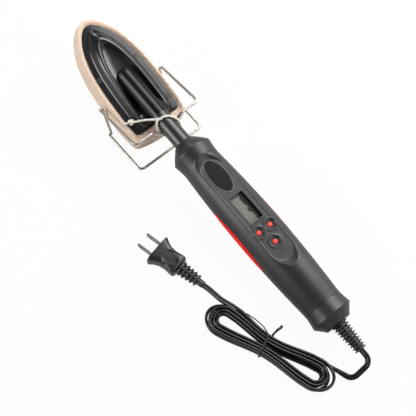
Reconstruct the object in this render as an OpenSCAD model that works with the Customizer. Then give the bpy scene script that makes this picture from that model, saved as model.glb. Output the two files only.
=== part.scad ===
// Sealing iron for film covering, at rest on its bent wire stand, with its cord tied in a hank.
// Millimetres, +X toward the shoe tip, +Y to the left, +Z up, origin on the table under the middle.

/* [Handle] */
// Half length of the barrel between its two waists
barrel_half = 82; // [78:1:88]
// Radius of the handle at its two waists
waist_r = 18.6; // [17.8:0.2:19.4]
// How far the barrel swells at its middle
barrel_swell = 3; // [2.4:0.2:3.6]
// Thickness of the moulded shells
wall = 2.6; // [2.4:0.1:2.8]
// Nose-up slope of the handle on its stand, in degrees
handle_tilt = 6; // [5:0.5:7]

/* [Panel] */
// Half width of the long recessed panel
panel_half = 11.5; // [11:0.5:12]
// Depth of the panel under the barrel's top line
panel_drop = 3.8; // [3.6:0.1:4]
// Length of the display cut-out
display_l = 29.5; // [27:0.5:31]
// Width of the display cut-out
display_w = 14; // [12:0.5:15]
// Radius of the three buttons
button_r = 2.2; // [1.8:0.1:2.6]
// Travel of the buttons
button_travel = 0.8; // [0.5:0.1:0.8]

/* [Shoe] */
// Half width of the shoe cover
cover_half = 26; // [25:0.5:27]
// Length of the shoe cover
cover_l = 112.3; // [108:0.5:116]
// Thickness of the cotton sock
sock_wall = 1.9; // [1.5:0.1:2.1]
// Angle between the shoe and the handle, in degrees
shoe_angle = 12; // [11:0.5:13]
// Radius of the tube between the handle and the shoe
shaft_r = 8.5; // [8:0.1:8.8]

/* [Stand] */
// Diameter of the stand's wire
wire_d = 2.5; // [2:0.1:3]
// Half width of the stand's upper frame
stand_half = 36.5; // [36:0.5:40]

/* [Cord] */
// Height of the flat twin cord as it lies on edge
cord_w = 5.2; // [4.8:0.1:5.2]
// Thickness of the flat twin cord
cord_t = 2.6; // [2.4:0.1:2.6]

/* [Hidden] */
$fn = 64;

// Room between two pieces of one body, and between two bodies
fit = 0.1;
free = 0.3;
// A cut runs this far past the face that it opens
past = 1;

// Handle: stations along its axis, counted from the middle of the barrel
flare_run = 14;
flare_r = waist_r + 1.5;
rear_flare_r = waist_r + 1.7;
nose_run = 5;
nose_r = waist_r - 2.2;
collar_run = 7;
seam_run = 2;
back_run = 7.5;
cap_face_run = 1.5;
cap_face_r = waist_r - 5;
front_flare_s = barrel_half + flare_run;
nose_s = front_flare_s + nose_run;
collar_s = nose_s + collar_run;
seam_s = -barrel_half - seam_run;
rear_flare_s = -front_flare_s;
back_s = rear_flare_s - back_run;
cap_end_s = back_s - cap_face_run;
barrel_steps = 12;
flare_steps = 4;
socket_r = 12.4;
socket_l = 8;
collar_lip = 1.6;
relief_hole_r = 5.4;
relief_lip = 1.6;
relief_lip_t = 2;
relief_seat_s = back_s + 1;

// Panel: its floor follows the barrel's top line at one depth
panel_front = 84;
panel_rear = -43;
scoop = 4;
panel_z = waist_r + barrel_swell - panel_drop;
deck_t = 2.4;
deck_under = panel_z - deck_t;
label_s = 58.7;
label_half_l = 17;
label_half_w = 8.5;
label_t = 0.6;
display_s = 22.5;
window_margin = 1;
window_t = 1;
window_front = display_s + display_l / 2 + window_margin;
window_top = barrel_r(window_front) - panel_drop - deck_t - free;
dimple_r = 5.25;
dimple_floor_r = 3.2;
dimple_deep = 0.9;
flange_over = 1.2;
flange_t = 0.8;
flange_top = deck_under - free;
button_top = panel_z + 0.1;
pair_s = -2.2;
pair_y = 6.45;
power_s = -16.8;
board_rear = -40;
board_front = 44;
board_half = 10;
board_t = 1.6;
plunger_top = flange_top - flange_t - button_travel - free;
switch_h = 3.4;
plunger_h = 1.2;
plunger_r = 1.7;
switch_side = 6;
board_top = plunger_top - plunger_h - switch_h;
post_r = 2.5;
post_y = 7;
boss_r = 4;
screw_r = 1.3;
screw_head_r = 2.6;
screw_head_h = 1.8;
screw_seat_z = -12;
screw_reach = 7;
screw_cross = 3.4;
screw_cross_w = 0.7;
boss_front_s = 62;
boss_rear_s = -62;

// Red side strips: a blunt leaf let into both shells
strip_s = 5;
strip_half_l = 33.5;
strip_leaf_half_l = 37.5;
strip_half_h = 8.4;
strip_deep = 1.5;
strip_proud = 0.25;

// Shoe: u runs forward from the heel of the cover, w rises from the top of its flange
heel_s = 144;
heel_drop = 15;
widest_u = 21;
heel_draw = 1.6;
boat_steps = 14;
cover_t = 2.2;
ridge_h = 9;
step_h = 7;
basin_h = 5;
sock_off = 4;
sock_lip = 1;
sock_bulge = 2;
sock_heel = 7;
sock_heel_bow = 1;
sock_foot_bow = 5;
sole_heel_bow = 2;
sole_under = 22;
sole_bevel = 3;
heel_steps = 6;
spine_end = 58;
spigot_r = 6.9;
spigot_l = 6;
shaft_end_s = heel_s - 1;
shaft_rear_s = nose_s - socket_l - 4;
shaft_bore_r = 5.4;
element_l = 70;
element_w = 20;
element_t = 5.6;
element_rear = 10;
element_u = element_rear + element_l / 2;
sensor_r = 3;
sensor_gap = 3;
sensor_u = element_rear - sensor_gap - sensor_r;
sensor_t = 2.4;
lead_r = 0.8;
lead_y = 2.5;
lead_s = heel_s + element_rear + 1;
lead_slot = 8;
shoe_screw_r = 1.35;
shoe_screw_head_r = 2.6;
shoe_screw_head_h = 1.4;
shoe_screw_l = 8;
shoe_screws = [[62.5, 21], [62.5, -21], [14.4, 22.4], [14.4, -22.4]];

// Places worked out from the sizes above
rest_z = -rear_flare_s * sin(handle_tilt) + rear_flare_r * cos(handle_tilt);
sock_tip_u = cover_l + 1.3 * (sock_off + sock_bulge);
sock_side_low = sole_under - 2;
sock_tip = heel_s + sock_tip_u * cos(shoe_angle) + sock_side_low * sin(shoe_angle);
sock_tip_z = -heel_drop + sock_tip_u * sin(shoe_angle) - sock_side_low * cos(shoe_angle);
rib_count = 10;
rib_pitch = 3.05;
rib_w = 1.9;
rib_big_r = 7;
rib_small_r = 6;
relief_core_r = 4;
relief_end_s = cap_end_s - fit - rib_pitch * (rib_count - 1) - rib_w;
front_x = sock_tip * cos(handle_tilt) - sock_tip_z * sin(handle_tilt);
rear_x = relief_end_s * cos(handle_tilt) - rib_small_r * sin(handle_tilt);
handle_x = -(front_x + rear_x) / 2;

// Stand: places from the handle's middle and heights above the table
cradle_x = 132.2;
cradle_mouth_half = 16.3;
cradle_floor_half = 9.5;
upper_rear_z = 45.4;
upper_front_x = 186.4;
upper_front_z = 36.2;
lower_front_x = 176.6;
lower_rear_x = 127.7;
leg_gap = 0.65;
leg_half = cover_half + sock_off + sock_bulge + leg_gap + wire_d / 2;
wire_bend = 4.5;
butt_gap = 0.6;
wire_sides = 10;
bend_steps = 4;

// Drawstring: knotted over the rear left screw, then a slack loop round the shaft
string_r = 1;
loop_s = 137.5;
loop_sag = 15.5;
loop_start = 60;
loop_sweep = 365;
loop_steps = 18;
loop_over = 0.85;
loop_r = (shaft_r + string_r + free) / cos(loop_sweep / loop_steps / 2);
knot_r = 3;
knot_at = [14, 22.4, 0.5 + knot_r + fit];

// Flat cord, hank and tie, with places from the handle's middle
cord_side = cord_t / 2;
cord_top = cord_w / 2;
hank_at = [-80, 58];
hank_turn = 18.5;
hank_half = 46;
hank_outer = 14.5;
hank_pitch = 3.1;
hank_quarters = 25;
hank_climb = 12;
hank_draw = 2.4;
hank_duck = 2;
hank_lift = 6;
hank_lead = 6;
tie_r = 0.7;
hank_low_z = 2 * tie_r + free + cord_top + 0.05;
cord_bend = 10.4;
relief_out = 15.7;
tie_half = 14.7;
tie_top = hank_low_z + hank_lift + cord_top + tie_r + 0.7;

// Plug, lying with its blades side by side
plug_at = [26.5, 71.2];
plug_turn = 12.1;
plug_z = 9;
plug_body_l = 26.5;
blade_gap = 12.7;
blade_l = 17;
blade_root = 6;
blade_h = 6.4;
blade_t = 1.5;
blade_hole_r = 1.6;
plug_rib_count = 5;
plug_rib_pitch = 5;
plug_rib_w = 3.4;
plug_collar_l = 2.1;
plug_relief_l = 27;
plug_relief_r = 5.5;
plug_relief_end_r = 4.2;
plug_relief_core = 3.4;

// Frames

module in_handle() translate([handle_x, 0, rest_z]) rotate([0, -handle_tilt, 0]) children();
module in_shoe() in_handle() translate([heel_s, 0, -heel_drop]) rotate([0, -shoe_angle, 0]) children();
module along_axis() rotate([0, 90, 0]) children();
module on_table() translate([handle_x, 0, 0]) children();
module in_plug() on_table() translate([plug_at.x, plug_at.y, plug_z]) rotate([0, 0, plug_turn]) children();

// Points of the handle, the hank and the plug seen from the table, and of the shoe from the handle
function from_handle(p) = [
    p.x * cos(handle_tilt) - p.z * sin(handle_tilt),
    p.y,
    rest_z + p.x * sin(handle_tilt) + p.z * cos(handle_tilt)
];
function from_shoe(p) = [
    heel_s + p.x * cos(shoe_angle) - p.z * sin(shoe_angle),
    p.y,
    -heel_drop + p.x * sin(shoe_angle) + p.z * cos(shoe_angle)
];
function from_hank(p) = [
    hank_at.x + p.x * cos(hank_turn) - p.y * sin(hank_turn),
    hank_at.y + p.x * sin(hank_turn) + p.y * cos(hank_turn),
    p.z
];
function from_plug(p) = [
    plug_at.x + p.x * cos(plug_turn) - p.y * sin(plug_turn),
    plug_at.y + p.x * sin(plug_turn) + p.y * cos(plug_turn),
    plug_z + p.z
];

// Lofts and sweeps

function unit(v) = v / norm(v);

// One closed solid through rings of equal count, each counter-clockwise seen from the next
module skin(rings) {
    n = len(rings[0]);
    last = (len(rings) - 1) * n;
    sides = [
        for (i = [0:len(rings) - 2])
            for (j = [0:n - 1])
                let (a = i * n + j, b = i * n + (j + 1) % n)
                    each [[a, a + n, b + n], [a, b + n, b]]
    ];
    back = [for (j = [1:n - 2]) [0, j, j + 1]];
    front = [for (j = [1:n - 2]) [last, last + j + 1, last + j]];
    polyhedron(points = [for (ring = rings) each ring], faces = concat(sides, back, front));
}

// An arc of radius r in place of corner b, from the leg toward a to the leg toward c
function corner_arc(a, b, c, r, n) =
    let (
        back = unit(a - b),
        ahead = unit(c - b),
        half = acos(back * ahead) / 2,
        middle = unit(back + ahead),
        side = unit(ahead - back),
        centre = b + middle * r / sin(half)
    )
    [
        for (i = [0:n])
            let (turn = (90 - half) * (2 * i / n - 1))
                centre + r * (side * sin(turn) - middle * cos(turn))
    ];
function rounded(route, r, n) = concat(
    [route[0]],
    [for (i = [1:len(route) - 2]) each corner_arc(route[i - 1], route[i], route[i + 1], r, n)],
    [route[len(route) - 1]]
);
function headings(path) = [
    for (i = [0:len(path) - 1])
        unit(path[min(i + 1, len(path) - 1)] - path[max(i - 1, 0)])
];
function square_to(t) = unit(cross(t, abs(t.z) < 0.9 ? [0, 0, 1] : [1, 0, 0]));
function carried(normal, t) = unit(normal - (normal * t) * t);

// Round wire: the section's normal is carried along the path without twist
module wire(path, r, sides) {
    t = headings(path);
    last = len(path) - 1;
    normals = [
        for (i = 0, n = square_to(t[0]); i <= last; i = i + 1, n = carried(n, t[min(i, last)])) n
    ];
    skin([
        for (i = [0:last])
            [
                for (k = [0:sides - 1])
                    let (turn = 360 * k / sides)
                        path[i] + r * (normals[i] * cos(turn) + cross(t[i], normals[i]) * sin(turn))
            ]
    ]);
}

// Flat cord on edge, its long way upright, or laid flat toward its first or last point
module ribbon(path, section, flat_first = 0, flat_last = 0) {
    t = headings(path);
    last = len(path) - 1;
    skin([
        for (i = [0:last])
            let (
                side = unit(cross([0, 0, 1], t[i])),
                up = cross(t[i], side),
                share = i / last,
                roll = flat_first * ease(2 - 2 * share) + flat_last * ease(2 * share),
                across = side * cos(roll) + up * sin(roll),
                above = up * cos(roll) - side * sin(roll)
            )
            [for (q = section) path[i] + across * q.x + above * q.y]
    ]);
}
function ease(x) = let (t = min(1, max(0, x))) t * t * (3 - 2 * t);

// Handle profile

function barrel_r(s) = waist_r + barrel_swell * (1 - pow(s / barrel_half, 2));
function flare(s, rise) = waist_r + rise * pow((abs(s) - barrel_half) / flare_run, 1.6);
function barrel_line(from, to, off) = [
    for (i = [0:barrel_steps])
        let (s = from + (to - from) * i / barrel_steps)
            [barrel_r(s) + off, s]
];
function flare_line(from, to, rise) = [
    for (i = [1:flare_steps])
        let (s = from + (to - from) * i / flare_steps)
            [flare(s, rise), s]
];

module shell_profile() polygon(concat(
    [[waist_r, seam_s]],
    barrel_line(-barrel_half, barrel_half, 0),
    flare_line(barrel_half, front_flare_s, flare_r - waist_r),
    [
        [nose_r, nose_s], [socket_r, nose_s], [socket_r, nose_s - wall],
        [nose_r - 1, nose_s - wall], [flare_r - wall, front_flare_s - 1]
    ],
    barrel_line(barrel_half, -barrel_half, -wall),
    [[waist_r - wall, seam_s]]
));

// Half a turn of the profile: up = 1 for the upper shell, -1 for the lower one
module half_turn(up) along_axis() rotate([0, 0, 90 * up]) rotate_extrude(angle = 180) children();

module barrel_skin(inner, outer) along_axis() rotate_extrude() polygon(concat(
    barrel_line(-barrel_half + 20, barrel_half - 20, outer),
    barrel_line(barrel_half - 20, -barrel_half + 20, inner)
));

module strip(side, grow, inner, outer) intersection() {
    barrel_skin(inner, outer);
    translate([strip_s, side * waist_r, 0]) rotate([90, 0, 0]) linear_extrude(2 * waist_r, center = true)
        intersection() {
            strip_leaf(grow, 1);
            strip_leaf(grow, -1);
            square([2 * (strip_half_l + grow), 4 * strip_half_h], center = true);
        }
}
module strip_leaf(grow, up) {
    leaf_r = (pow(strip_leaf_half_l, 2) + pow(strip_half_h, 2)) / (2 * strip_half_h);
    translate([0, up * (leaf_r - strip_half_h)]) circle(r = leaf_r + grow, $fn = 256);
}
module strip_space() for (side = [-1, 1]) strip(side, fit, -strip_deep, 2);

// Panel

module panel_outline(grow) {
    straight = panel_front - panel_rear - 2 * panel_half;
    translate([(panel_front + panel_rear) / 2, 0]) {
        square([straight, 2 * (panel_half + grow)], center = true);
        for (end = [-1, 1]) translate([end * straight / 2, 0]) circle(r = panel_half + grow);
    }
}
// The panel's floor line along the handle, off higher than the floor
function panel_line(from, to, off) = [
    for (i = [0:barrel_steps])
        let (s = from + (to - from) * i / barrel_steps)
            [s, barrel_r(s) - panel_drop + off]
];
module across_handle(half) rotate([90, 0, 0]) linear_extrude(2 * half, center = true) children();

// The pocket's rear end is upright, and its front end slopes up like the end of a scoop
module pocket() intersection() {
    union() {
        difference() {
            linear_extrude(3 * waist_r) panel_outline(0);
            translate([panel_front, 0, 0]) cube([2 * panel_half, 4 * panel_half, 9 * waist_r], center = true);
        }
        translate([panel_front - panel_half, 0, barrel_r(panel_front) - panel_drop])
            cylinder(r1 = panel_half - scoop, r2 = panel_half, h = panel_drop);
        translate([panel_front - panel_half, 0, barrel_r(panel_front) - fit])
            cylinder(r = panel_half, h = 2 * waist_r);
    }
    across_handle(panel_half + past) polygon(concat(
        panel_line(panel_rear - past, panel_front + past, 0),
        [[panel_front + past, 2 * waist_r], [panel_rear - past, 2 * waist_r]]
    ));
}

// The plate that carries the panel's floor inside the upper shell
module deck() intersection() {
    half_turn(1) polygon(concat(
        barrel_line(-barrel_half, barrel_half, -wall / 2), [[0, barrel_half], [0, -barrel_half]]
    ));
    linear_extrude(3 * waist_r) panel_outline(2);
    across_handle(2 * panel_half) polygon(concat(
        panel_line(panel_rear - 3, panel_front + 3, -deck_t),
        [[panel_front + 3, 2 * waist_r], [panel_rear - 3, 2 * waist_r]]
    ));
}

// Stand

module wire_stand() color("silver") on_table() {
    axis_z = rest_z + cradle_x * tan(handle_tilt);
    floor_z = axis_z - shaft_r / cos(handle_tilt) - free - wire_d / 2;
    foot_z = wire_d / 2;
    left = [
        [lower_rear_x, butt_gap / 2, foot_z],
        [lower_rear_x, stand_half, foot_z],
        [lower_front_x, stand_half, foot_z],
        [lower_front_x, leg_half, foot_z],
        [upper_front_x, leg_half, upper_front_z],
        [upper_front_x, stand_half, upper_front_z],
        [cradle_x, stand_half, upper_rear_z],
        [cradle_x, cradle_mouth_half, upper_rear_z],
        [cradle_x, cradle_floor_half, floor_z]
    ];
    right = [for (i = [len(left) - 1:-1:0]) [left[i].x, -left[i].y, left[i].z]];
    wire(tight_rounded(concat(left, right)), wire_d / 2, wire_sides);
}
// Bends as wide as the legs beside them let them be
function tight_rounded(route) = concat(
    [route[0]],
    [
        for (i = [1:len(route) - 2])
            let (
                a = route[i - 1],
                b = route[i],
                c = route[i + 1],
                half = acos(unit(a - b) * unit(c - b)) / 2,
                room = 0.48 * min(norm(a - b), norm(c - b)) * tan(half)
            )
            each corner_arc(a, b, c, min(room, wire_bend), bend_steps)
    ],
    [route[len(route) - 1]]
);

// Shoe

function boat_half(u, half, tip) = u < widest_u
    ? half - heel_draw * pow((widest_u - u) / widest_u, 2)
    : half * pow(max(0, 1 - pow((u - widest_u) / (tip - widest_u), 3)), 0.62);
function boat_line(half, tip, heel) = [
    for (i = [0:boat_steps])
        let (u = heel + (tip - heel) * cos(90 * i / boat_steps))
            [u, boat_half(u, half, tip)]
];
// A boat outline at height w, from the tip down the left side, round the bowed heel and up the right
function boat(half, tip, heel, w, bow = 0) =
    let (line = boat_line(half, tip, heel), corner = line[boat_steps].y)
    concat(
        [for (p = line) [p.x, p.y, w]],
        [
            for (i = [1:heel_steps - 1])
                let (share = 1 - 2 * i / heel_steps)
                    [heel - bow * (1 - pow(share, 2)), share * corner, w]
        ],
        [for (i = [boat_steps:-1:1]) [line[i].x, -line[i].y, w]]
    );
function grown_boat(off, heel, w, bow = 0) = boat(cover_half + off, cover_l + 1.3 * off, -heel, w, bow);

module sole_plate() color("lightgray") in_shoe() difference() {
    upper = sock_off - sock_wall - fit;
    lower = upper + sock_bulge;
    heel = sock_heel - sock_wall - fit;
    skin([
        grown_boat(lower - sole_bevel, heel - sole_bevel, -sole_under, sole_heel_bow),
        grown_boat(lower, heel, -sole_under + sole_bevel, sole_heel_bow),
        grown_boat(upper, heel, -cover_t - fit)
    ]);
    translate([element_u, 0, -cover_t])
        cube([element_l + 2 * fit, element_w + 2 * fit, 2 * (element_t + fit)], center = true);
    translate([sensor_u, 0, -cover_t - sensor_t - 2 * fit]) cylinder(r = sensor_r + fit, h = sensor_t + past);
    for (at = shoe_screws) translate([at.x, at.y, -shoe_screw_l - fit])
        cylinder(r = shoe_screw_r + fit, h = shoe_screw_l);
}

module heating_element() color("dimgray") in_shoe()
    translate([element_u - element_l / 2, -element_w / 2, -cover_t - element_t - fit / 2])
        cube([element_l, element_w, element_t - fit / 2]);

module thermal_sensor() color("gold") in_shoe()
    translate([sensor_u, 0, -cover_t - sensor_t - fit]) cylinder(r = sensor_r, h = sensor_t - fit);

module shoe_cover() color("black") difference() {
    union() {
        in_shoe() skin([
            boat(cover_half, cover_l, 0, -cover_t),
            boat(cover_half, cover_l, 0, -0.5),
            boat(cover_half - 0.6, cover_l - 0.9, 0.4, 0),
            boat(cover_half - 7, cover_l - 7, 2, 0.4),
            boat(cover_half - 9.2, cover_l - 16, 4, ridge_h),
            boat(cover_half - 11.4, cover_l - 21, 14, ridge_h),
            boat(cover_half - 12.6, cover_l - 23.4, 15.4, step_h),
            boat(cover_half - 13.4, cover_l - 24.8, 16.8, step_h),
            boat(cover_half - 14.2, cover_l - 26.5, 18, basin_h)
        ]);
        in_handle() along_axis() rotate_extrude() polygon([
            [0, shaft_end_s + fit],
            [shaft_r, shaft_end_s + fit],
            for (i = [0:6]) let (turn = 15 * i)
                [shaft_r * cos(turn), heel_s + spine_end - shaft_r + 0.8 * shaft_r * sin(turn)]
        ]);
    }
    in_shoe() translate([0, 0, -cover_t - 20]) cube([300, 100, 40], center = true);
    in_handle() translate([shaft_end_s - past, 0, 0]) along_axis()
        cylinder(r = spigot_r + fit, h = spigot_l + fit + 2 * past);
    in_handle() translate([shaft_end_s, 0, 0]) along_axis() cylinder(r = shaft_bore_r, h = 16);
    in_handle() translate([lead_s - lead_slot / 2, -2 * lead_y, -2 * lead_slot])
        cube([lead_slot, 4 * lead_y, 2 * lead_slot]);
    in_shoe() for (at = shoe_screws) translate([at.x, at.y, 0]) {
        translate([0, 0, -cover_t - past]) cylinder(r = shoe_screw_r + fit, h = cover_t + 2 * past);
        screw_head(fit, 2);
    }
}
module screw_head(grow, rise) {
    translate([0, 0, 0.2 - shoe_screw_head_h])
        cylinder(r1 = shoe_screw_r + grow, r2 = shoe_screw_head_r + grow, h = shoe_screw_head_h);
    translate([0, 0, 0.2]) cylinder(r = shoe_screw_head_r + grow, h = rise);
}

module cover_screws() color("gray") in_shoe() for (at = shoe_screws) translate([at.x, at.y, 0])
    difference() {
        union() {
            screw_head(0, 0.3);
            translate([0, 0, -shoe_screw_l]) cylinder(r = shoe_screw_r, h = shoe_screw_l);
        }
        for (turn = [0, 90]) rotate([0, 0, turn]) translate([0, 0, 0.4])
            cube([0.6, 3.2, 1.6], center = true);
    }

module cover_sock() color("tan") in_shoe() {
    upper = sock_off - sock_wall;
    lower = upper + sock_bulge;
    heel = sock_heel - sock_wall;
    under = sole_under + sock_wall;
    skin([
        grown_boat(sock_off + sock_bulge - 4, sock_heel - 4, -under - fit, sock_foot_bow),
        grown_boat(sock_off + sock_bulge - 1, sock_heel - 1, -under + 1.4, sock_foot_bow),
        grown_boat(sock_off + sock_bulge, sock_heel, -sock_side_low, sock_foot_bow),
        grown_boat(sock_off, sock_heel, sock_lip - 0.6, sock_heel_bow),
        grown_boat(sock_off - 0.7, sock_heel - 0.7, sock_lip, sock_heel_bow),
        grown_boat(upper + 0.5, heel + 0.5, sock_lip, sock_heel_bow),
        grown_boat(upper, heel, sock_lip - 0.6, sock_heel_bow),
        grown_boat(lower, heel, -sole_under + sole_bevel, sock_foot_bow),
        grown_boat(lower - sole_bevel, heel - sole_bevel, -sole_under - fit, sock_foot_bow)
    ]);
}

module sock_drawstring() color("ivory") in_handle() {
    loop = [
        for (i = [0:loop_steps])
            let (
                share = i / loop_steps,
                turn = loop_start + loop_sweep * share,
                r = loop_r + (2 * string_r + free) * max(0, share - loop_over) / (1 - loop_over)
            )
            [loop_s - loop_sag * (1 - cos(turn - loop_start)) / 2, r * cos(turn), r * sin(turn)]
    ];
    leave = [for (step = [[-1, -1, 2.2], [-7, -9, 11]]) from_shoe(knot_at + step)];
    hem_end = [knot_at.x + 2.7, cover_half + sock_off - 0.6, sock_lip + string_r + free];
    wire(concat(leave, loop), string_r, 8);
    translate(from_shoe(knot_at)) sphere(r = knot_r);
    wire([for (share = [0.2, 0.6, 1]) from_shoe(knot_at + share * (hem_end - knot_at))], string_r, 8);
}

module shaft_tube() color("black") in_handle() along_axis() rotate_extrude() polygon([
    [shaft_bore_r, shaft_rear_s], [shaft_r, shaft_rear_s], [shaft_r, shaft_end_s],
    [spigot_r, shaft_end_s], [spigot_r, shaft_end_s + spigot_l], [shaft_bore_r, shaft_end_s + spigot_l]
]);

// Handle

module front_collar() color("dimgray") in_handle() along_axis() rotate_extrude() polygon([
    [shaft_r + fit, nose_s - socket_l], [socket_r - fit, nose_s - socket_l],
    [socket_r - fit, nose_s + fit], [nose_r - 0.2, nose_s + fit],
    [nose_r - 1.4, nose_s + collar_lip], [shaft_r + collar_lip + 0.8, collar_s - 0.8],
    [shaft_r + collar_lip, collar_s], [shaft_r + fit, collar_s]
]);

module button_places() {
    for (side = [-1, 1]) translate([pair_s, side * pair_y, 0]) children();
    translate([power_s, 0, 0]) children();
}

module upper_shell() color("darkslategray") in_handle() difference() {
    union() {
        half_turn(1) shell_profile();
        deck();
        for (s = [board_rear + 3, board_front - 3], side = [-1, 1])
            translate([s, side * post_y, board_top + fit]) cylinder(r = post_r, h = deck_under - board_top);
        translate([boss_front_s, 0, fit])
            cylinder(r = boss_r, h = barrel_r(boss_front_s) - panel_drop - deck_t + 0.5);
        translate([boss_rear_s, 0, fit]) cylinder(r = boss_r, h = barrel_r(boss_rear_s) - wall + 0.5);
    }
    pocket();
    strip_space();
    translate([display_s, 0, panel_z]) cube([display_l, display_w, 4 * deck_t], center = true);
    button_places() {
        cylinder(r = button_r + free, h = 2 * waist_r);
        translate([0, 0, panel_z - dimple_deep])
            cylinder(r1 = dimple_floor_r, r2 = dimple_r, h = dimple_deep + 0.1);
    }
    for (s = [boss_front_s, boss_rear_s]) translate([s, 0, -past])
        cylinder(r = screw_r + fit, h = screw_reach + 2 * past);
}

module lower_shell() color("darkslategray") in_handle() difference() {
    union() {
        half_turn(-1) shell_profile();
        for (s = [boss_front_s, boss_rear_s]) translate([s, 0, wall - barrel_r(s) - 0.5])
            cylinder(r = boss_r, h = barrel_r(s) - wall + 0.5);
    }
    strip_space();
    for (s = [boss_front_s, boss_rear_s]) translate([s, 0, 0]) {
        translate([0, 0, -2 * waist_r]) cylinder(r = screw_r + fit, h = 2 * waist_r + past);
        translate([0, 0, -2 * waist_r]) cylinder(r = screw_head_r + 2 * fit, h = 2 * waist_r + screw_seat_z);
    }
}

module handle_screws() color("gray") in_handle() for (s = [boss_front_s, boss_rear_s])
    translate([s, 0, screw_seat_z]) difference() {
        union() {
            translate([0, 0, -screw_head_h]) cylinder(r = screw_head_r, h = screw_head_h);
            translate([0, 0, -fit]) cylinder(r = screw_r, h = screw_reach - screw_seat_z);
        }
        for (turn = [0, 90]) rotate([0, 0, turn]) translate([0, 0, -screw_head_h])
            cube([screw_cross_w, screw_cross, screw_head_h], center = true);
    }

module end_cap() color("darkslategray") in_handle() along_axis() rotate_extrude() polygon(concat(
    [[waist_r - wall - fit, seam_s + 7], [waist_r - wall - fit, seam_s - 0.2], [waist_r, seam_s - 0.2]],
    flare_line(seam_s, rear_flare_s, rear_flare_r - waist_r),
    [
        [cap_face_r, back_s], [cap_face_r - 1, cap_end_s], [relief_hole_r, cap_end_s],
        [relief_hole_r, relief_seat_s], [relief_hole_r + relief_lip + free, relief_seat_s],
        [cap_face_r - 2, back_s + 2],
        [rear_flare_r - wall - 0.5, rear_flare_s + 1],
        [waist_r - 2 * wall, seam_s - 2], [waist_r - 2 * wall, seam_s + 7]
    ]
));

module side_strip_left() color("red") in_handle() strip(1, 0, fit - strip_deep, strip_proud);
module side_strip_right() color("red") in_handle() strip(-1, 0, fit - strip_deep, strip_proud);

module label_plate() color("silver") in_handle() intersection() {
    translate([label_s, 0, 0]) linear_extrude(2 * waist_r) polygon([
        for (i = [0:47]) [label_half_l * cos(7.5 * i), label_half_w * sin(7.5 * i)]
    ]);
    across_handle(label_half_w + past) polygon(concat(
        panel_line(label_s - label_half_l - past, label_s + label_half_l + past, 0.02),
        panel_line(label_s + label_half_l + past, label_s - label_half_l - past, label_t)
    ));
}

module display_window() color("lightblue") in_handle() translate([display_s, 0, window_top - window_t / 2])
    cube([display_l + 2 * window_margin, display_w + 2 * window_margin, window_t], center = true);

module lcd_module() color("darkseagreen") in_handle()
    translate([display_s - display_l / 2 - window_margin, -display_w / 2 - window_margin, board_top + fit])
        cube([display_l + 2 * window_margin, display_w + 2 * window_margin,
              window_top - window_t - board_top - 2 * fit]);

module circuit_board() color("green") in_handle() translate([board_rear, -board_half, board_top - board_t])
    cube([board_front - board_rear, 2 * board_half, board_t]);

module tact_switches() color("dimgray") in_handle() button_places() {
    translate([0, 0, board_top + fit + (switch_h - fit) / 2])
        cube([switch_side, switch_side, switch_h - fit], center = true);
    translate([0, 0, board_top + switch_h - 0.1]) cylinder(r = plunger_r, h = plunger_h + 0.1);
}

module button() rotate_extrude() polygon([
    [0, flange_top - flange_t], [button_r + flange_over, flange_top - flange_t],
    [button_r + flange_over, flange_top], [button_r, flange_top], [button_r, button_top - 0.6],
    [button_r - 0.35, button_top - 0.15], [button_r - 0.9, button_top], [0, button_top]
]);
module button_up() color("red") in_handle() translate([pair_s, -pair_y, 0]) button();
module button_down() color("red") in_handle() translate([pair_s, pair_y, 0]) button();
module button_power() color("red") in_handle() translate([power_s, 0, 0]) button();

// Ribs along a relief: count, pitch and width, from radius big to radius small over a core
function ribs(from, count, pitch, rib, big, small, core) = [
    for (i = [0:count - 1])
        let (s = from - i * pitch, r = big + (small - big) * i / (count - 1))
            each [[core, s], [r, s], [r, s - rib], [core, s - rib]]
];

module strain_relief() color("black") in_handle() along_axis() rotate_extrude() polygon(concat(
    [
        [0, relief_seat_s + relief_lip_t],
        [relief_hole_r + relief_lip, relief_seat_s + relief_lip_t],
        [relief_hole_r + relief_lip, relief_seat_s + fit],
        [relief_hole_r - fit, relief_seat_s + fit],
        [relief_hole_r - fit, cap_end_s - fit]
    ],
    ribs(cap_end_s - fit, rib_count, rib_pitch, rib_w, rib_big_r, rib_small_r, relief_core_r),
    [[0, relief_end_s]]
));

module heater_leads() color("white") in_handle() for (side = [-1, 1]) wire(
    rounded([
        [board_front + fit, side * 6, board_top - board_t / 2],
        [board_front + 8, side * 6, board_top - board_t / 2],
        [board_front + 30, side * 6, 2],
        [nose_s - 14, side * lead_y, 0],
        [lead_s, side * lead_y, 0],
        [lead_s, side * lead_y, -heel_drop + 0.6]
    ], 2.5, 3),
    lead_r, 8
);

// Cord

flat_eight = [
    [1, -0.6], [1, 0.6], [0.6, 1], [-0.6, 1], [-1, 0.6], [-1, -0.6], [-0.6, -1], [0.6, -1]
];
flat_six = [[1, -0.65], [1, 0.65], [0, 1], [-1, 0.65], [-1, -0.65], [0, -1]];
function cord_section(shape) = [for (q = shape) [q.x * cord_side, q.y * cord_top]];

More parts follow.
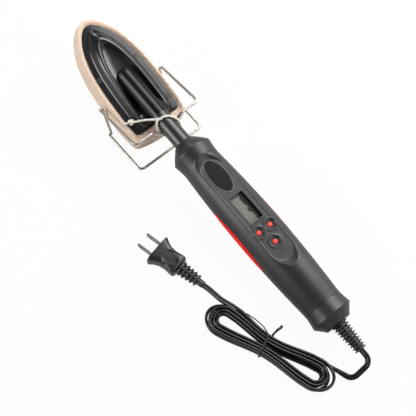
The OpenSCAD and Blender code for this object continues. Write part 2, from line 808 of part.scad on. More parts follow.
// Quarter k of the winding is a run, a left end, a run back or a right end, at share f of it
function hank_point(k, f) =
    let (
        p = (k + f) / 4,
        spiral = hank_outer - hank_pitch * min(p, hank_quarters / 4 - p),
        climbing = k == hank_climb,
        h = spiral - (climbing ? hank_duck * sin(180 * f) : 0),
        drawn = h - hank_draw * pow(sin(180 * f), 2),
        z = hank_low_z + hank_lift * (climbing ? (1 - cos(180 * f)) / 2 : (k > hank_climb ? 1 : 0)),
        quarter = k % 4
    )
    quarter == 0 ? [hank_half * (2 * f - 1), -drawn, z]
    : quarter == 1 ? [hank_half + h * sin(180 * f), -h * cos(180 * f), z]
    : quarter == 2 ? [hank_half * (1 - 2 * f), drawn, z]
    : [-hank_half - h * sin(180 * f), h * cos(180 * f), z];
function quarter_steps(k) = k % 2 == 0 ? 5 : 7;
hank_turns = concat(
    [
        for (k = [0:hank_quarters - 1])
            for (i = [0:quarter_steps(k) - 1]) hank_point(k, i / quarter_steps(k))
    ],
    [hank_point(hank_quarters - 1, 1)]
);
hank_start = hank_turns[0] - [hank_lead, 0, 0];
hank_end = hank_turns[len(hank_turns) - 1] + [hank_lead, 0, 0];
hank_path = [for (p = concat([hank_start], hank_turns, [hank_end])) from_hank(p)];
iron_path = let (
        out = from_handle([relief_end_s, 0, 0]),
        bend = from_handle([relief_end_s - relief_out, 0, 0]),
        join = hank_path[0],
        heading = unit(hank_path[1] - join)
    )
    rounded([out, bend, join - heading * (join.x - bend.x) / heading.x, join], cord_bend, 5);
plug_path = let (
        join = hank_path[len(hank_path) - 1],
        heading = [cos(hank_turn), sin(hank_turn), 0],
        meet = from_plug([-plug_relief_l, 0, 0]),
        ahead = [cos(plug_turn), sin(plug_turn), 0]
    )
    rounded([join, join + hank_lead * heading, meet - hank_lead * ahead, meet], 2 * cord_bend, 4);

function path_length(path, i = 1) =
    i >= len(path) ? 0 : norm(path[i] - path[i - 1]) + path_length(path, i + 1);
function flat_gap(p, q) =
    let (aside = norm([p.x - q.x, p.y - q.y]) - cord_t, over = abs(p.z - q.z) - cord_w)
    aside > 0 && over > 0 ? norm([aside, over]) : max(aside, over);
least_gap = min([
    for (i = [0:len(hank_turns) - 13])
        for (j = [i + 12:len(hank_turns) - 1]) flat_gap(hank_turns[i], hank_turns[j])
]);
cord_length = path_length(iron_path) + path_length(hank_path) + path_length(plug_path);
echo(hank_gap = least_gap, cord_length = cord_length);

module iron_cord() color("black") on_table() ribbon(iron_path, cord_section(flat_eight), flat_first = 90);
module cord_hank() color("black") on_table() ribbon(hank_path, cord_section(flat_six));
module plug_cord() color("black") on_table() ribbon(plug_path, cord_section(flat_eight), flat_last = 90);

module twist_tie() color("black") on_table() {
    low = tie_r + 0.05;
    route = [
        [22, -8, 22], [12, -7, 19.5], [6, -3, tie_top + 0.8], [5.4, tie_half, tie_top],
        [5, tie_half, low], [3.4, -tie_half, low], [2.6, -tie_half, tie_top], [2.2, -5, tie_top + 0.6],
        [-1, -12, 19], [-4, -17, 16]
    ];
    wire([for (p = rounded(route, 2.2, 3)) from_hank(p)], tie_r, 8);
}

// Plug

// A rounded box outline across the plug's axis at station s
function squared(x) = sign(x) * sqrt(abs(x));
function plug_ring(s, half_w, half_h) = [
    for (i = [0:23])
        let (turn = 15 * i)
            [s, half_w * squared(cos(turn)), half_h * squared(sin(turn))]
];

module plug_body() color("black") difference() {
    in_plug() skin([
        plug_ring(0, 8.6, 5.6), plug_ring(1.2, 10, 6.8), plug_ring(8, 9.3, 6.9), plug_ring(14, 9.6, 7.1),
        plug_ring(18, 11, 7.4), plug_ring(21.5, 13.8, 8), plug_ring(25.3, 14, 8.2),
        plug_ring(plug_body_l, 13.2, 7.6)
    ]);
    in_plug() for (side = [-1, 1])
        translate([plug_body_l - (blade_root - past) / 2, side * blade_gap / 2, 0])
            cube([blade_root + past + 2 * fit, blade_t + fit, blade_h + fit], center = true);
}

module plug_blades() color("silver") in_plug() for (side = [-1, 1]) translate([0, side * blade_gap / 2, 0])
    difference() {
        translate([plug_body_l - blade_root, -blade_t / 2, -blade_h / 2])
            cube([blade_root + blade_l, blade_t, blade_h]);
        translate([plug_body_l + blade_l - 4.5, 0, 0]) rotate([90, 0, 0])
            cylinder(r = blade_hole_r, h = 3 * blade_t, center = true);
        for (up = [-1, 1]) translate([plug_body_l + blade_l, 0, up * blade_h / 2]) rotate([0, 45, 0])
            cube([1.6, 3 * blade_t, 1.6], center = true);
    }

module plug_relief() color("black") in_plug() along_axis() rotate_extrude() polygon(concat(
    [[0, -fit / 2], [plug_relief_r, -fit / 2]],
    ribs(
        -plug_collar_l, plug_rib_count, plug_rib_pitch, plug_rib_w,
        plug_relief_r, plug_relief_end_r, plug_relief_core
    ),
    [[plug_relief_core, -plug_relief_l], [0, -plug_relief_l]]
));

wire_stand();
sole_plate();
heating_element();
thermal_sensor();
shoe_cover();
cover_screws();
cover_sock();
sock_drawstring();
shaft_tube();
front_collar();
upper_shell();
lower_shell();
end_cap();
side_strip_left();
side_strip_right();
label_plate();
display_window();
lcd_module();
circuit_board();
tact_switches();
button_up();
button_down();
button_power();
handle_screws();
strain_relief();
heater_leads();
iron_cord();
cord_hank();
plug_cord();
twist_tie();
plug_relief();
plug_body();
plug_blades();
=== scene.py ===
"""Dressed scene of a film covering iron at rest on its wire stand, its flat cord tied in a hank."""

import logging
import math
from dataclasses import dataclass
from enum import Enum
from typing import Callable, ClassVar, Sequence

import bpy
import numpy as np
from bpy.types import Material, Node, NodeSocket, NodeTree, Object
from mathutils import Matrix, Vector

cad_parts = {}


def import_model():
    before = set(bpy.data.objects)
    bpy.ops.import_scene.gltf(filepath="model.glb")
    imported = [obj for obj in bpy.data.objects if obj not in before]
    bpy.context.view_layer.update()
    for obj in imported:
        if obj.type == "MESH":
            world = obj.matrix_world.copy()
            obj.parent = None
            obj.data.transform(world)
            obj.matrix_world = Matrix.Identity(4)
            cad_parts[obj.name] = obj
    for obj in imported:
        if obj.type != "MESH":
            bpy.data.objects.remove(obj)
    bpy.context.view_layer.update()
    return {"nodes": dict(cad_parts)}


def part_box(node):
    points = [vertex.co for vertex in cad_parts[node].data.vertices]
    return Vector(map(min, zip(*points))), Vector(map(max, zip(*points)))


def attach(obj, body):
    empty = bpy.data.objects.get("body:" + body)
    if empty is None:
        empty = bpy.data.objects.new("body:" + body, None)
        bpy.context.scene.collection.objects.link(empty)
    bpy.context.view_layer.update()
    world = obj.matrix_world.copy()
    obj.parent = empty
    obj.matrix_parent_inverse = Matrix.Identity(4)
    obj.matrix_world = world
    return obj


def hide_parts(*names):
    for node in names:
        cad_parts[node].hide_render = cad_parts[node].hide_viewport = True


LOG = logging.getLogger("sealing_iron")
MM = 0.001
FULL_TURN = 2 * math.pi
Array = np.ndarray
Colour = tuple[float, float, float]
Point = tuple[float, float, float]
Rows = tuple[tuple[float, ...], ...]
Frames = Callable[[Array], tuple[Array, Array]]
Inputs = dict[str | int, object]


class Body(Enum):
    """CAD bodies that the pieces made here ride on."""

    STAND = "stand"
    IRON = "iron"


class Side(Enum):
    """The two sides of the handle, as the sign of y."""

    LEFT = 1
    RIGHT = -1


class TreeKind(Enum):
    """Kinds of node tree made here."""

    SHADER = "ShaderNodeTree"
    GEOMETRY = "GeometryNodeTree"


class Socket(Enum):
    """Kinds of socket on the node trees made here."""

    FLOAT = "NodeSocketFloat"
    WHOLE = "NodeSocketInt"
    VECTOR = "NodeSocketVector"
    OBJECT = "NodeSocketObject"
    MATERIAL = "NodeSocketMaterial"
    GEOMETRY = "NodeSocketGeometry"


@dataclass(frozen=True)
class IronFrame:
    """Where the handle's axis lies on its stand and how the shoe sits on it, in millimetres."""

    handle_x: float
    tilt: float = math.radians(6.0)
    shoe_angle: float = math.radians(12.0)
    heel_s: float = 144.0
    heel_drop: float = 15.0
    rear_flare_s: float = -96.0
    rear_flare_r: float = 20.3
    relief_end_s: float = -134.45
    relief_rib_r: float = 6.0

    @classmethod
    def from_cad(cls) -> "IronFrame":
        """Finds the handle's middle from the rear end of the strain relief.

        Returns:
            The frame that the CAD solids stand in.
        """
        plain = cls(0.0)
        rear_x = plain.relief_end_s * math.cos(plain.tilt) - plain.relief_rib_r * math.sin(plain.tilt)
        return cls(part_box("strain_relief")[0].x / MM - rear_x)

    @property
    def rest_z(self) -> float:
        """Height of the handle's middle when its rear band touches the table."""
        return -self.rear_flare_s * math.sin(self.tilt) + self.rear_flare_r * math.cos(self.tilt)

    def table(self, x: Array, y: Array, z: Array) -> Array:
        """Points counted from the table under the handle's middle, in metres of the row frame."""
        x, y, z = np.broadcast_arrays(x, y, z)
        return np.stack([self.handle_x + x, y, z], axis=-1).astype(float) * MM

    def handle(self, s: Array, y: Array, z: Array) -> Array:
        """Places points of the handle.

        Args:
            s: Stations forward along the handle's axis.
            y: Places to the left of it.
            z: Heights above it.

        Returns:
            The points in metres of the row frame.
        """
        s, y, z = np.broadcast_arrays(s, y, z)
        c, n = math.cos(self.tilt), math.sin(self.tilt)
        return self.table(s * c - z * n, y, self.rest_z + s * n + z * c)

    def shoe_to_handle(self, p: Array) -> Array:
        """Turns points of the shoe into points of the handle.

        Args:
            p: Points forward from the heel of the shoe's cover, across it and above its flange.

        Returns:
            The same points along, across and above the handle's axis, in millimetres.
        """
        c, n = math.cos(self.shoe_angle), math.sin(self.shoe_angle)
        s = self.heel_s + p[..., 0] * c - p[..., 2] * n
        return np.stack([s, p[..., 1], -self.heel_drop + p[..., 0] * n + p[..., 2] * c], axis=-1)

    def shoe(self, u: Array, v: Array, w: Array) -> Array:
        """Points of the shoe in metres of the row frame."""
        p = self.shoe_to_handle(np.stack(np.broadcast_arrays(u, v, w), axis=-1))
        return self.handle(p[..., 0], p[..., 1], p[..., 2])


# Meshes

STRAIGHT = 1e-4
STEEP = 0.9
CURVE_STEPS = 8
UP = np.array([0.0, 0.0, 1.0])
FORWARD = np.array([1.0, 0.0, 0.0])


def unit(v: Array) -> Array:
    """Vectors of length one along the last axis."""
    return v / np.linalg.norm(v, axis=-1, keepdims=True)


def smoothstep(x: Array) -> Array:
    """0 below zero, 1 above one and an even curve between."""
    t = np.clip(x, 0, 1)
    return t * t * (3 - 2 * t)


def ridge(off: Array, width: Array | float) -> Array:
    """A soft ridge that is 1 in its middle and dies away over its width."""
    return np.exp(-((off / width) ** 2))


def turns(count: int) -> Array:
    """That many angles evenly round a full turn."""
    return np.linspace(0, FULL_TURN, count, endpoint=False)


def circle(radius: float, sides: int) -> Array:
    """A round section of that radius."""
    turn = turns(sides)
    return radius * np.stack([np.cos(turn), np.sin(turn)], axis=1)


def rounded(route: Sequence[Sequence[float]], radius: float, steps: int, share: float = 0.48) -> Array:
    """A polyline whose inner corners are arcs.

    Args:
        route: Corner points.
        radius: Largest radius of an arc, in the route's own units.
        steps: Segments of each arc.
        share: How much of a leg one arc may take.

    Returns:
        The points of the rounded line.
    """
    p = np.asarray(route, float)
    line = [p[0]]
    for a, b, c in zip(p, p[1:], p[2:]):
        back, ahead = unit(a - b), unit(c - b)
        half = math.acos(np.clip(back @ ahead, -1, 1)) / 2
        if half > math.pi / 2 - STRAIGHT:
            line.append(b)
            continue
        room = share * min(np.linalg.norm(a - b), np.linalg.norm(c - b)) * math.tan(half)
        r = min(radius, room)
        middle, side = unit(back + ahead), unit(ahead - back)
        centre = b + middle * r / math.sin(half)
        for turn in np.linspace(-1, 1, steps + 1) * (math.pi / 2 - half):
            line.append(centre + r * (side * math.sin(turn) - middle * math.cos(turn)))
    line.append(p[-1])
    return np.array(line)


def smooth_line(points: Array, step: float) -> Array:
    """A curve through the points, cut at even steps.

    Args:
        points: Points that the curve passes through.
        step: Spacing of the result, in the points' own units.

    Returns:
        Evenly spaced points on one smooth cubic curve.
    """
    p = np.vstack([2 * points[0] - points[1], points, 2 * points[-1] - points[-2]])
    t = np.linspace(0, 1, CURVE_STEPS, endpoint=False)[:, None]
    dense = []
    for a, b, c, d in zip(p, p[1:], p[2:], p[3:]):
        slope, bend, twist = c - a, 2 * a - 5 * b + 4 * c - d, 3 * b - a - 3 * c + d
        dense.append(0.5 * (2 * b + slope * t + bend * t**2 + twist * t**3))
    return even_line(np.vstack(dense + [points[-1:]]), step)


def distances(line: Array) -> Array:
    """How far along a polyline each of its points lies."""
    return np.concatenate([[0], np.cumsum(np.linalg.norm(np.diff(line, axis=0), axis=1))])


def even_line(line: Array, step: float) -> Array:
    """The same line cut at even steps of its length.

    Args:
        line: Points of the line.
        step: Spacing of the result.

    Returns:
        The new points.
    """
    run = distances(line)
    at = np.linspace(0, run[-1], max(2, int(round(run[-1] / step)) + 1))
    return np.stack([np.interp(at, run, line[:, k]) for k in range(3)], axis=1)


def line_length(line: Array) -> float:
    """Length of a polyline."""
    return float(np.linalg.norm(np.diff(line, axis=0), axis=1).sum())


def headings(line: Array) -> Array:
    """Unit tangents along a polyline."""
    return unit(np.gradient(line, axis=0))


def upright_frames(line: Array) -> tuple[Array, Array]:
    """Frames along a line, with up as near to +Z as the line lets it be.

    Args:
        line: Points of the line.

    Returns:
        The side vectors and the up vectors.
    """
    t = headings(line)
    side = unit(np.cross(UP, t))
    return side, np.cross(t, side)


def carried_frames(line: Array) -> tuple[Array, Array]:
    """Frames carried along a line without twist.

    Args:
        line: Points of the line.

    Returns:
        The side vectors and the up vectors.
    """
    t = headings(line)
    normal = unit(np.cross(t[0], UP if abs(t[0, 2]) < STEEP else FORWARD))
    normals = []
    for heading in t:
        normal = unit(normal - (normal @ heading) * heading)
        normals.append(normal)
    side = np.array(normals)
    return side, np.cross(t, side)


@dataclass
class Surface:
    """A grid of points that becomes one closed mesh; without caps its last row joins the first."""

    rows: Array
    uv: Array | None = None
    caps: bool = True

    def build(self, name: str, sharp_deg: float = 40.0) -> Object:
        """Makes the object, smooth but for edges sharper than an angle.

        Args:
            name: Name of the object.
            sharp_deg: Edges that bend more than this stay sharp.

        Returns:
            The linked object, at the origin.
        """
        n, m = self.rows.shape[:2]
        index = np.arange(n * m).reshape(n, m)
        here = index[:-1] if self.caps else index
        ahead = index[1:] if self.caps else np.roll(index, -1, axis=0)
        beside = [np.roll(rows, -1, axis=1) for rows in (here, ahead)]
        faces = np.stack([here, *beside, ahead], axis=-1).reshape(-1, 4).tolist()
        if self.caps:
            faces += [index[0, ::-1].tolist(), index[-1].tolist()]
        mesh = bpy.data.meshes.new(name)
        mesh.from_pydata(self.rows.reshape(-1, 3).tolist(), [], faces)
        if self.uv is not None:
            layer = mesh.uv_layers.new(name="weave")
            loops = np.zeros(len(mesh.loops), np.int32)
            mesh.loops.foreach_get("vertex_index", loops)
            layer.data.foreach_set("uv", self.uv.reshape(-1, 2)[loops].astype(np.float32).ravel())
        mesh.polygons.foreach_set("use_smooth", np.ones(len(mesh.polygons), bool))
        mesh.set_sharp_from_angle(angle=math.radians(sharp_deg))
        mesh.validate()
        obj = bpy.data.objects.new(name, mesh)
        bpy.context.scene.collection.objects.link(obj)
        return obj


def swept(
    line: Array, section: Array, frames: Frames, roll: Array | float = 0.0, scale: Array | float = 1.0
) -> Surface:
    """A section carried along a line.

    Args:
        line: Points in metres.
        section: Outline points (side, up) in metres.
        frames: Gives the side and up vectors along the line.
        roll: Turn of the section at each point, in radians.
        scale: Size of the section at each point.

    Returns:
        The surface, with its run in metres and its share round the section as its own coordinates.
    """
    side, up = frames(line)
    turn = np.broadcast_to(roll, len(line))[:, None]
    size = np.broadcast_to(scale, len(line))[:, None, None]
    across = side * np.cos(turn) + up * np.sin(turn)
    above = up * np.cos(turn) - side * np.sin(turn)
    outline = section[None, :, :1] * across[:, None] + section[None, :, 1:] * above[:, None]
    around = np.linspace(0, 1, len(section), endpoint=False)
    uv = np.stack(np.broadcast_arrays(distances(line)[:, None], around[None]), axis=-1)
    return Surface(line[:, None] + size * outline, uv)


# Node trees

TONE_SHARES = (0.3, 0.7)
SLUBS_PER_METRE = 260.0


class NodeSheet:
    """A hand on one node tree: adds nodes, sets their sockets and links them."""

    def __init__(self, tree: NodeTree) -> None:
        """Takes a tree in hand."""
        self.tree = tree

    def feed(self, node: Node, inputs: Inputs) -> None:
        """Sets a node's sockets.

        Args:
            node: The node.
            inputs: Socket name or number to a value, or to the socket that feeds it.
        """
        for key, value in inputs.items():
            if isinstance(value, NodeSocket):
                self.tree.links.new(value, node.inputs[key])
            else:
                node.inputs[key].default_value = value

    def add(self, kind: str, inputs: Inputs | None = None, **settings: object) -> Node:
        """Adds a node.

        Args:
            kind: Blender's name for the node.
            inputs: Socket name or number to a value, or to the socket that feeds it.
            settings: Properties of the node.

        Returns:
            The new node.
        """
        node = self.tree.nodes.new(kind)
        for key, value in settings.items():
            setattr(node, key, value)
        self.feed(node, inputs or {})
        return node

    def math(self, operation: str, a: object, b: object = 0.0, c: object = 0.0) -> NodeSocket:
        """The output of one math node."""
        return self.add("ShaderNodeMath", {0: a, 1: b, 2: c}, operation=operation).outputs[0]


TreeParts = tuple[NodeSheet, Node, Node]


def new_tree(kind: TreeKind, name: str, inputs: dict[str, Socket], outputs: dict[str, Socket]) -> TreeParts:
    """Starts a node group.

    Args:
        kind: Whether it shades or makes shapes.
        name: Name of the group.
        inputs: Name and kind of each socket that goes in.
        outputs: Name and kind of each socket that comes out.

    Returns:
        The sheet to build on, the group's input node and its output node.
    """
    tree = bpy.data.node_groups.new(name, kind.value)
    for way, sockets in (("INPUT", inputs), ("OUTPUT", outputs)):
        for key, socket in sockets.items():
            tree.interface.new_socket(key, in_out=way, socket_type=socket.value)
    sheet = NodeSheet(tree)
    return sheet, sheet.add("NodeGroupInput"), sheet.add("NodeGroupOutput")


def grain_group() -> NodeTree:
    """Moulded or cast grain in object space: a fine height, a slow tint and a middling change of gloss.

    Returns:
        The shader group.
    """
    inputs = {"Grains per metre": Socket.FLOAT}
    outputs = dict.fromkeys(("Height", "Tint", "Gloss"), Socket.FLOAT)
    sheet, given, out = new_tree(TreeKind.SHADER, "Surface grain", inputs, outputs)
    place = sheet.add("ShaderNodeTexCoord").outputs["Object"]
    layers = (
        ("Height", 1.0, {"Detail": 2.0}),
        ("Tint", 0.012, {"Detail": 4.0, "Roughness": 0.6}),
        ("Gloss", 0.06, {"Detail": 3.0}),
    )
    for key, share, look in layers:
        scale = sheet.math("MULTIPLY", given.outputs[0], share)
        noise = sheet.add("ShaderNodeTexNoise", {"Vector": place, "Scale": scale, **look})
        sheet.feed(out, {key: noise.outputs[0]})
    return sheet.tree


def weave_group() -> NodeTree:
    """Plain weave from a surface's own coordinates in metres: thread height and thread shade.

    Returns:
        The shader group.
    """
    inputs = {"Surface": Socket.VECTOR, "Threads per metre": Socket.FLOAT}
    outputs = {"Height": Socket.FLOAT, "Shade": Socket.FLOAT}
    sheet, given, out = new_tree(TreeKind.SHADER, "Plain weave", inputs, outputs)
    surface = given.outputs["Surface"]
    split = sheet.add("ShaderNodeSeparateXYZ", {0: surface})
    cells, threads = [], []
    for axis in (0, 1):
        phase = sheet.math("MULTIPLY", split.outputs[axis], given.outputs["Threads per metre"])
        cells.append(sheet.math("FLOOR", phase))
        wave = sheet.math("SINE", sheet.math("MULTIPLY", phase, math.pi))
        threads.append(sheet.math("ABSOLUTE", wave))
    over = sheet.math("PINGPONG", sheet.math("ADD", *cells), 1.0)
    under = sheet.math("SUBTRACT", 1.0, over)
    warp = sheet.math("MULTIPLY", threads[0], over)
    weft = sheet.math("MULTIPLY", threads[1], under)
    slub = sheet.add("ShaderNodeTexNoise", {"Vector": surface, "Scale": SLUBS_PER_METRE, "Detail": 3.0})
    sheet.feed(out, {"Height": sheet.math("ADD", warp, weft), "Shade": slub.outputs[0]})
    return sheet.tree


def close_tree(parts: TreeParts, shape: NodeSocket) -> NodeTree:
    """Realises the shape, gives it the tree's material and ends the tree.

    Args:
        parts: The tree's sheet, input node and output node.
        shape: What the tree has drawn.

    Returns:
        The finished tree.
    """
    sheet, given, out = parts
    plain = sheet.add("GeometryNodeRealizeInstances", {0: shape})
    smooth = sheet.add("GeometryNodeSetShadeSmooth", {0: plain.outputs[0]})
    done = sheet.add("GeometryNodeSetMaterial", {0: smooth.outputs[0], "Material": given.outputs["Material"]})
    sheet.feed(out, {0: done.outputs[0]})
    return sheet.tree


def wire_tree() -> NodeTree:
    """A round wire with closed ends along a curve.

    Returns:
        The geometry tree.
    """
    inputs = {
        "Geometry": Socket.GEOMETRY, "Radius": Socket.FLOAT, "Sides": Socket.WHOLE,
        "Material": Socket.MATERIAL,
    }
    parts = new_tree(TreeKind.GEOMETRY, "Wire along a curve", inputs, {"Geometry": Socket.GEOMETRY})
    sheet, given, _ = parts
    size = {"Resolution": given.outputs["Sides"], "Radius": given.outputs["Radius"]}
    ring = sheet.add("GeometryNodeCurvePrimitiveCircle", size)
    path = {"Curve": given.outputs["Geometry"], "Profile Curve": ring.outputs[0], "Fill Caps": True}
    return close_tree(parts, sheet.add("GeometryNodeCurveToMesh", path).outputs[0])


def row_tree() -> NodeTree:
    """Copies of one piece along a curve, each turned and sized by its place in the row.

    Returns:
        The geometry tree.
    """
    inputs = {
        "Geometry": Socket.GEOMETRY, "Count": Socket.WHOLE, "Piece": Socket.OBJECT, "Turn": Socket.FLOAT,
        "End size": Socket.FLOAT, "Material": Socket.MATERIAL,
    }
    parts = new_tree(TreeKind.GEOMETRY, "Pieces along a curve", inputs, {"Geometry": Socket.GEOMETRY})
    sheet, given, _ = parts
    count = given.outputs["Count"]
    path = {"Curve": given.outputs["Geometry"], "Count": count}
    spots = sheet.add("GeometryNodeCurveToPoints", path, mode="COUNT")
    one = sheet.add("GeometryNodeObjectInfo", {"Object": given.outputs["Piece"]})
    index = sheet.add("GeometryNodeInputIndex").outputs[0]
    angle = sheet.add("ShaderNodeCombineXYZ", {2: sheet.math("MULTIPLY", index, given.outputs["Turn"])})
    spin = sheet.add("FunctionNodeEulerToRotation", {0: angle.outputs[0]})
    both = {0: spots.outputs["Rotation"], 1: spin.outputs[0]}
    turned = sheet.add("FunctionNodeRotateRotation", both, rotation_space="LOCAL")
    last = sheet.math("SUBTRACT", count, 1.0)
    size = sheet.add("ShaderNodeMapRange", {0: index, 2: last, 3: 1.0, 4: given.outputs["End size"]})
    copies = {
        "Points": spots.outputs["Points"], "Instance": one.outputs["Geometry"],
        "Rotation": turned.outputs[0], "Scale": size.outputs[0],
    }
    return close_tree(parts, sheet.add("GeometryNodeInstanceOnPoints", copies).outputs[0])


class Trees:
    """The node trees that finishes and pieces share, each made once."""

    _made: ClassVar[dict[str, NodeTree]] = {}

    @classmethod
    def get(cls, maker: Callable[[], NodeTree]) -> NodeTree:
        """Gives a maker's tree, made on first use.

        Args:
            maker: Function that builds the tree.

        Returns:
            The tree.
        """
        if maker.__name__ not in cls._made:
            cls._made[maker.__name__] = maker()
        return cls._made[maker.__name__]


def draw_along(
    name: str, line: Array, maker: Callable[[], NodeTree], values: dict[str, object], closed: bool = False
) -> Object:
    """Runs a geometry tree on a curve and keeps the plain mesh that comes out.

    Args:
        name: Name of the new object.
        line: Points of the curve in metres.
        maker: Function that builds the tree.
        values: The tree's inputs by name.
        closed: Whether the curve joins up.

    Returns:
        The linked object, at the origin.
    """
    curve = bpy.data.curves.new(f"{name}_line", "CURVE")
    curve.dimensions = "3D"
    spline = curve.splines.new("POLY")
    spline.points.add(len(line) - 1)
    spline.points.foreach_set("co", np.hstack([line, np.ones((len(line), 1))]).ravel())
    spline.use_cyclic_u = closed
    source = bpy.data.objects.new(f"{name}_line", curve)
    bpy.context.scene.collection.objects.link(source)
    run = source.modifiers.new("draw", "NODES")
    run.node_group = Trees.get(maker)
    for item in run.node_group.interface.items_tree:
        if item.in_out == "INPUT" and item.name in values:
            run[item.identifier] = values[item.name]
    shown = source.evaluated_get(bpy.context.evaluated_depsgraph_get())
    mesh = bpy.data.meshes.new_from_object(shown)
    source.modifiers.remove(run)
    bpy.data.objects.remove(source)
    bpy.data.curves.remove(curve)
    obj = bpy.data.objects.new(name, mesh)
    bpy.context.scene.collection.objects.link(obj)
    return obj


# Finishes


def two_tone(sheet: NodeSheet, share: NodeSocket, low: Colour, high: Colour) -> NodeSocket:
    """Makes a colour that runs from one to another.

    Args:
        sheet: The material's node tree.
        share: What the colour follows, between the tone shares.
        low: Colour at the lower share.
        high: Colour at the upper share.

    Returns:
        The colour's socket.
    """
    ramp = sheet.add("ShaderNodeValToRGB", {0: share})
    for element, position, colour in zip(ramp.color_ramp.elements, TONE_SHARES, (low, high)):
        element.position = position
        element.color = (*colour, 1)
    return ramp.outputs[0]


def shade(colour: Colour, factor: float) -> Colour:
    """The colour made lighter or darker by a factor."""
    return tuple(min(1.0, c * factor) for c in colour)


class Finish:
    """A surface finish that builds its own material once; it also holds a slot name, which nothing here
    reads.
    """

    name: str
    slot: str = ""
    _built: ClassVar[dict[str, Material]] = {}

    def material(self) -> Material:
        """Gives the finish's material, built on first use.

        Returns:
            The material.
        """
        if self.name not in Finish._built:
            mat = bpy.data.materials.new(f"{self.name}_surface")
            mat.use_nodes = True
            self.fill(NodeSheet(mat.node_tree), mat.node_tree.nodes["Principled BSDF"])
            Finish._built[self.name] = mat
        return Finish._built[self.name]

    def fill(self, sheet: NodeSheet, bsdf: Node) -> None:
        """Sets the shader and links what varies over the surface.

        Args:
            sheet: The material's node tree.
            bsdf: Its shader.
        """
        raise NotImplementedError


@dataclass(frozen=True)
class Grained(Finish):
    """A solid finish with grain: moulded plastic, coating, rubber or metal."""

    name: str
    colour: Colour
    roughness: float
    grains: float = 2500.0
    bump: float = 0.12
    depth: float = 0.00003
    tint: float = 0.12
    gloss: float = 0.06
    metallic: float = 0.0
    specular: float = 0.5
    slot: str = ""

    def fill(self, sheet: NodeSheet, bsdf: Node) -> None:
        """Sets the shader and links its grain.

        Args:
            sheet: The material's node tree.
            bsdf: Its shader.
        """
        grain = sheet.add("ShaderNodeGroup", node_tree=Trees.get(grain_group))
        sheet.feed(grain, {"Grains per metre": self.grains})
        low, high = (shade(self.colour, 1 + way * self.tint) for way in (-1, 1))
        span = {0: grain.outputs["Gloss"], 3: self.roughness - self.gloss, 4: self.roughness + self.gloss}
        relief = {"Height": grain.outputs["Height"], "Strength": self.bump, "Distance": self.depth}
        sheet.feed(bsdf, {
            "Base Color": two_tone(sheet, grain.outputs["Tint"], low, high),
            "Roughness": sheet.add("ShaderNodeMapRange", span).outputs[0],
            "Normal": sheet.add("ShaderNodeBump", relief).outputs[0],
            "Metallic": self.metallic,
            "Specular IOR Level": self.specular,
        })


@dataclass(frozen=True)
class Woven(Finish):
    """Cotton cloth or string with its threads, from the surface's own coordinates."""

    name: str
    colour: Colour
    threads: float
    bump: float = 0.5
    depth: float = 0.0002
    dark: float = 0.8
    light: float = 1.12
    thread_share: float = 0.22
    slub_share: float = 0.7
    roughness: float = 0.9
    sheen: float = 0.35
    sheen_roughness: float = 0.5
    specular: float = 0.2

    def fill(self, sheet: NodeSheet, bsdf: Node) -> None:
        """Sets the shader and links its threads.

        Args:
            sheet: The material's node tree.
            bsdf: Its shader.
        """
        place = sheet.add("ShaderNodeUVMap", uv_map="weave").outputs[0]
        weave = sheet.add("ShaderNodeGroup", node_tree=Trees.get(weave_group))
        sheet.feed(weave, {"Surface": place, "Threads per metre": self.threads})
        height = weave.outputs["Height"]
        slub = sheet.math("MULTIPLY", weave.outputs["Shade"], self.slub_share)
        share = sheet.math("MULTIPLY_ADD", height, self.thread_share, slub)
        low, high = (shade(self.colour, factor) for factor in (self.dark, self.light))
        relief = {"Height": height, "Strength": self.bump, "Distance": self.depth}
        sheet.feed(bsdf, {
            "Base Color": two_tone(sheet, share, low, high),
            "Normal": sheet.add("ShaderNodeBump", relief).outputs[0],
            "Roughness": self.roughness,
            "Sheen Weight": self.sheen,
            "Sheen Roughness": self.sheen_roughness,
            "Specular IOR Level": self.specular,
        })


@dataclass(frozen=True)
class Clear(Finish):
    """A clear window over the display."""

    name: str
    colour: Colour = (0.02, 0.022, 0.02)
    grains: float = 400.0
    smoothest: float = 0.04
    roughest: float = 0.12
    alpha: float = 0.07
    specular: float = 0.3

    def fill(self, sheet: NodeSheet, bsdf: Node) -> None:
        """Sets the shader and links its faint smears.

        Args:
            sheet: The material's node tree.
            bsdf: Its shader.
        """
        grain = sheet.add("ShaderNodeGroup", node_tree=Trees.get(grain_group))
        sheet.feed(grain, {"Grains per metre": self.grains})
        span = {0: grain.outputs["Gloss"], 3: self.smoothest, 4: self.roughest}
        sheet.feed(bsdf, {
            "Roughness": sheet.add("ShaderNodeMapRange", span).outputs[0],
            "Base Color": (*self.colour, 1),
            "Alpha": self.alpha,
            "Specular IOR Level": self.specular,
        })


HANDLE = Grained("handle_grey", (0.0082, 0.008, 0.011), 0.44, grains=2600.0, bump=0.25, specular=0.55)
COLLAR = Grained("collar_grey", (0.0105, 0.0103, 0.0113), 0.42, grains=2600.0)
GLOSS_BLACK = Grained("cover_black", (0.0058, 0.005, 0.0064), 0.22, grains=700.0, bump=0.04, specular=0.55)
SPINE = Grained(
    "spine_black", (0.006, 0.0058, 0.0066), 0.24, grains=700.0, bump=0.04, specular=0.2, slot="cover_black"
)
SHAFT = Grained("shaft_black", (0.0075, 0.0074, 0.008), 0.36, grains=900.0, bump=0.05, specular=0.65)
RED = Grained("accent_red", (0.86, 0.062, 0.05), 0.42, grains=1200.0, bump=0.05, specular=0.3)
STRIP_RED = Grained(
    "strip_red", (0.95, 0.028, 0.02), 0.6, grains=1200.0, bump=0.05, specular=0.04, slot="accent_red"
)
NICKEL = Grained(
    "nickel_wire", (0.44, 0.41, 0.37), 0.34, grains=700.0, bump=0.01, tint=0.06, gloss=0.04, metallic=1.0
)
STEEL = Grained("screw_steel", (0.07, 0.068, 0.07), 0.3, grains=1800.0, metallic=1.0)
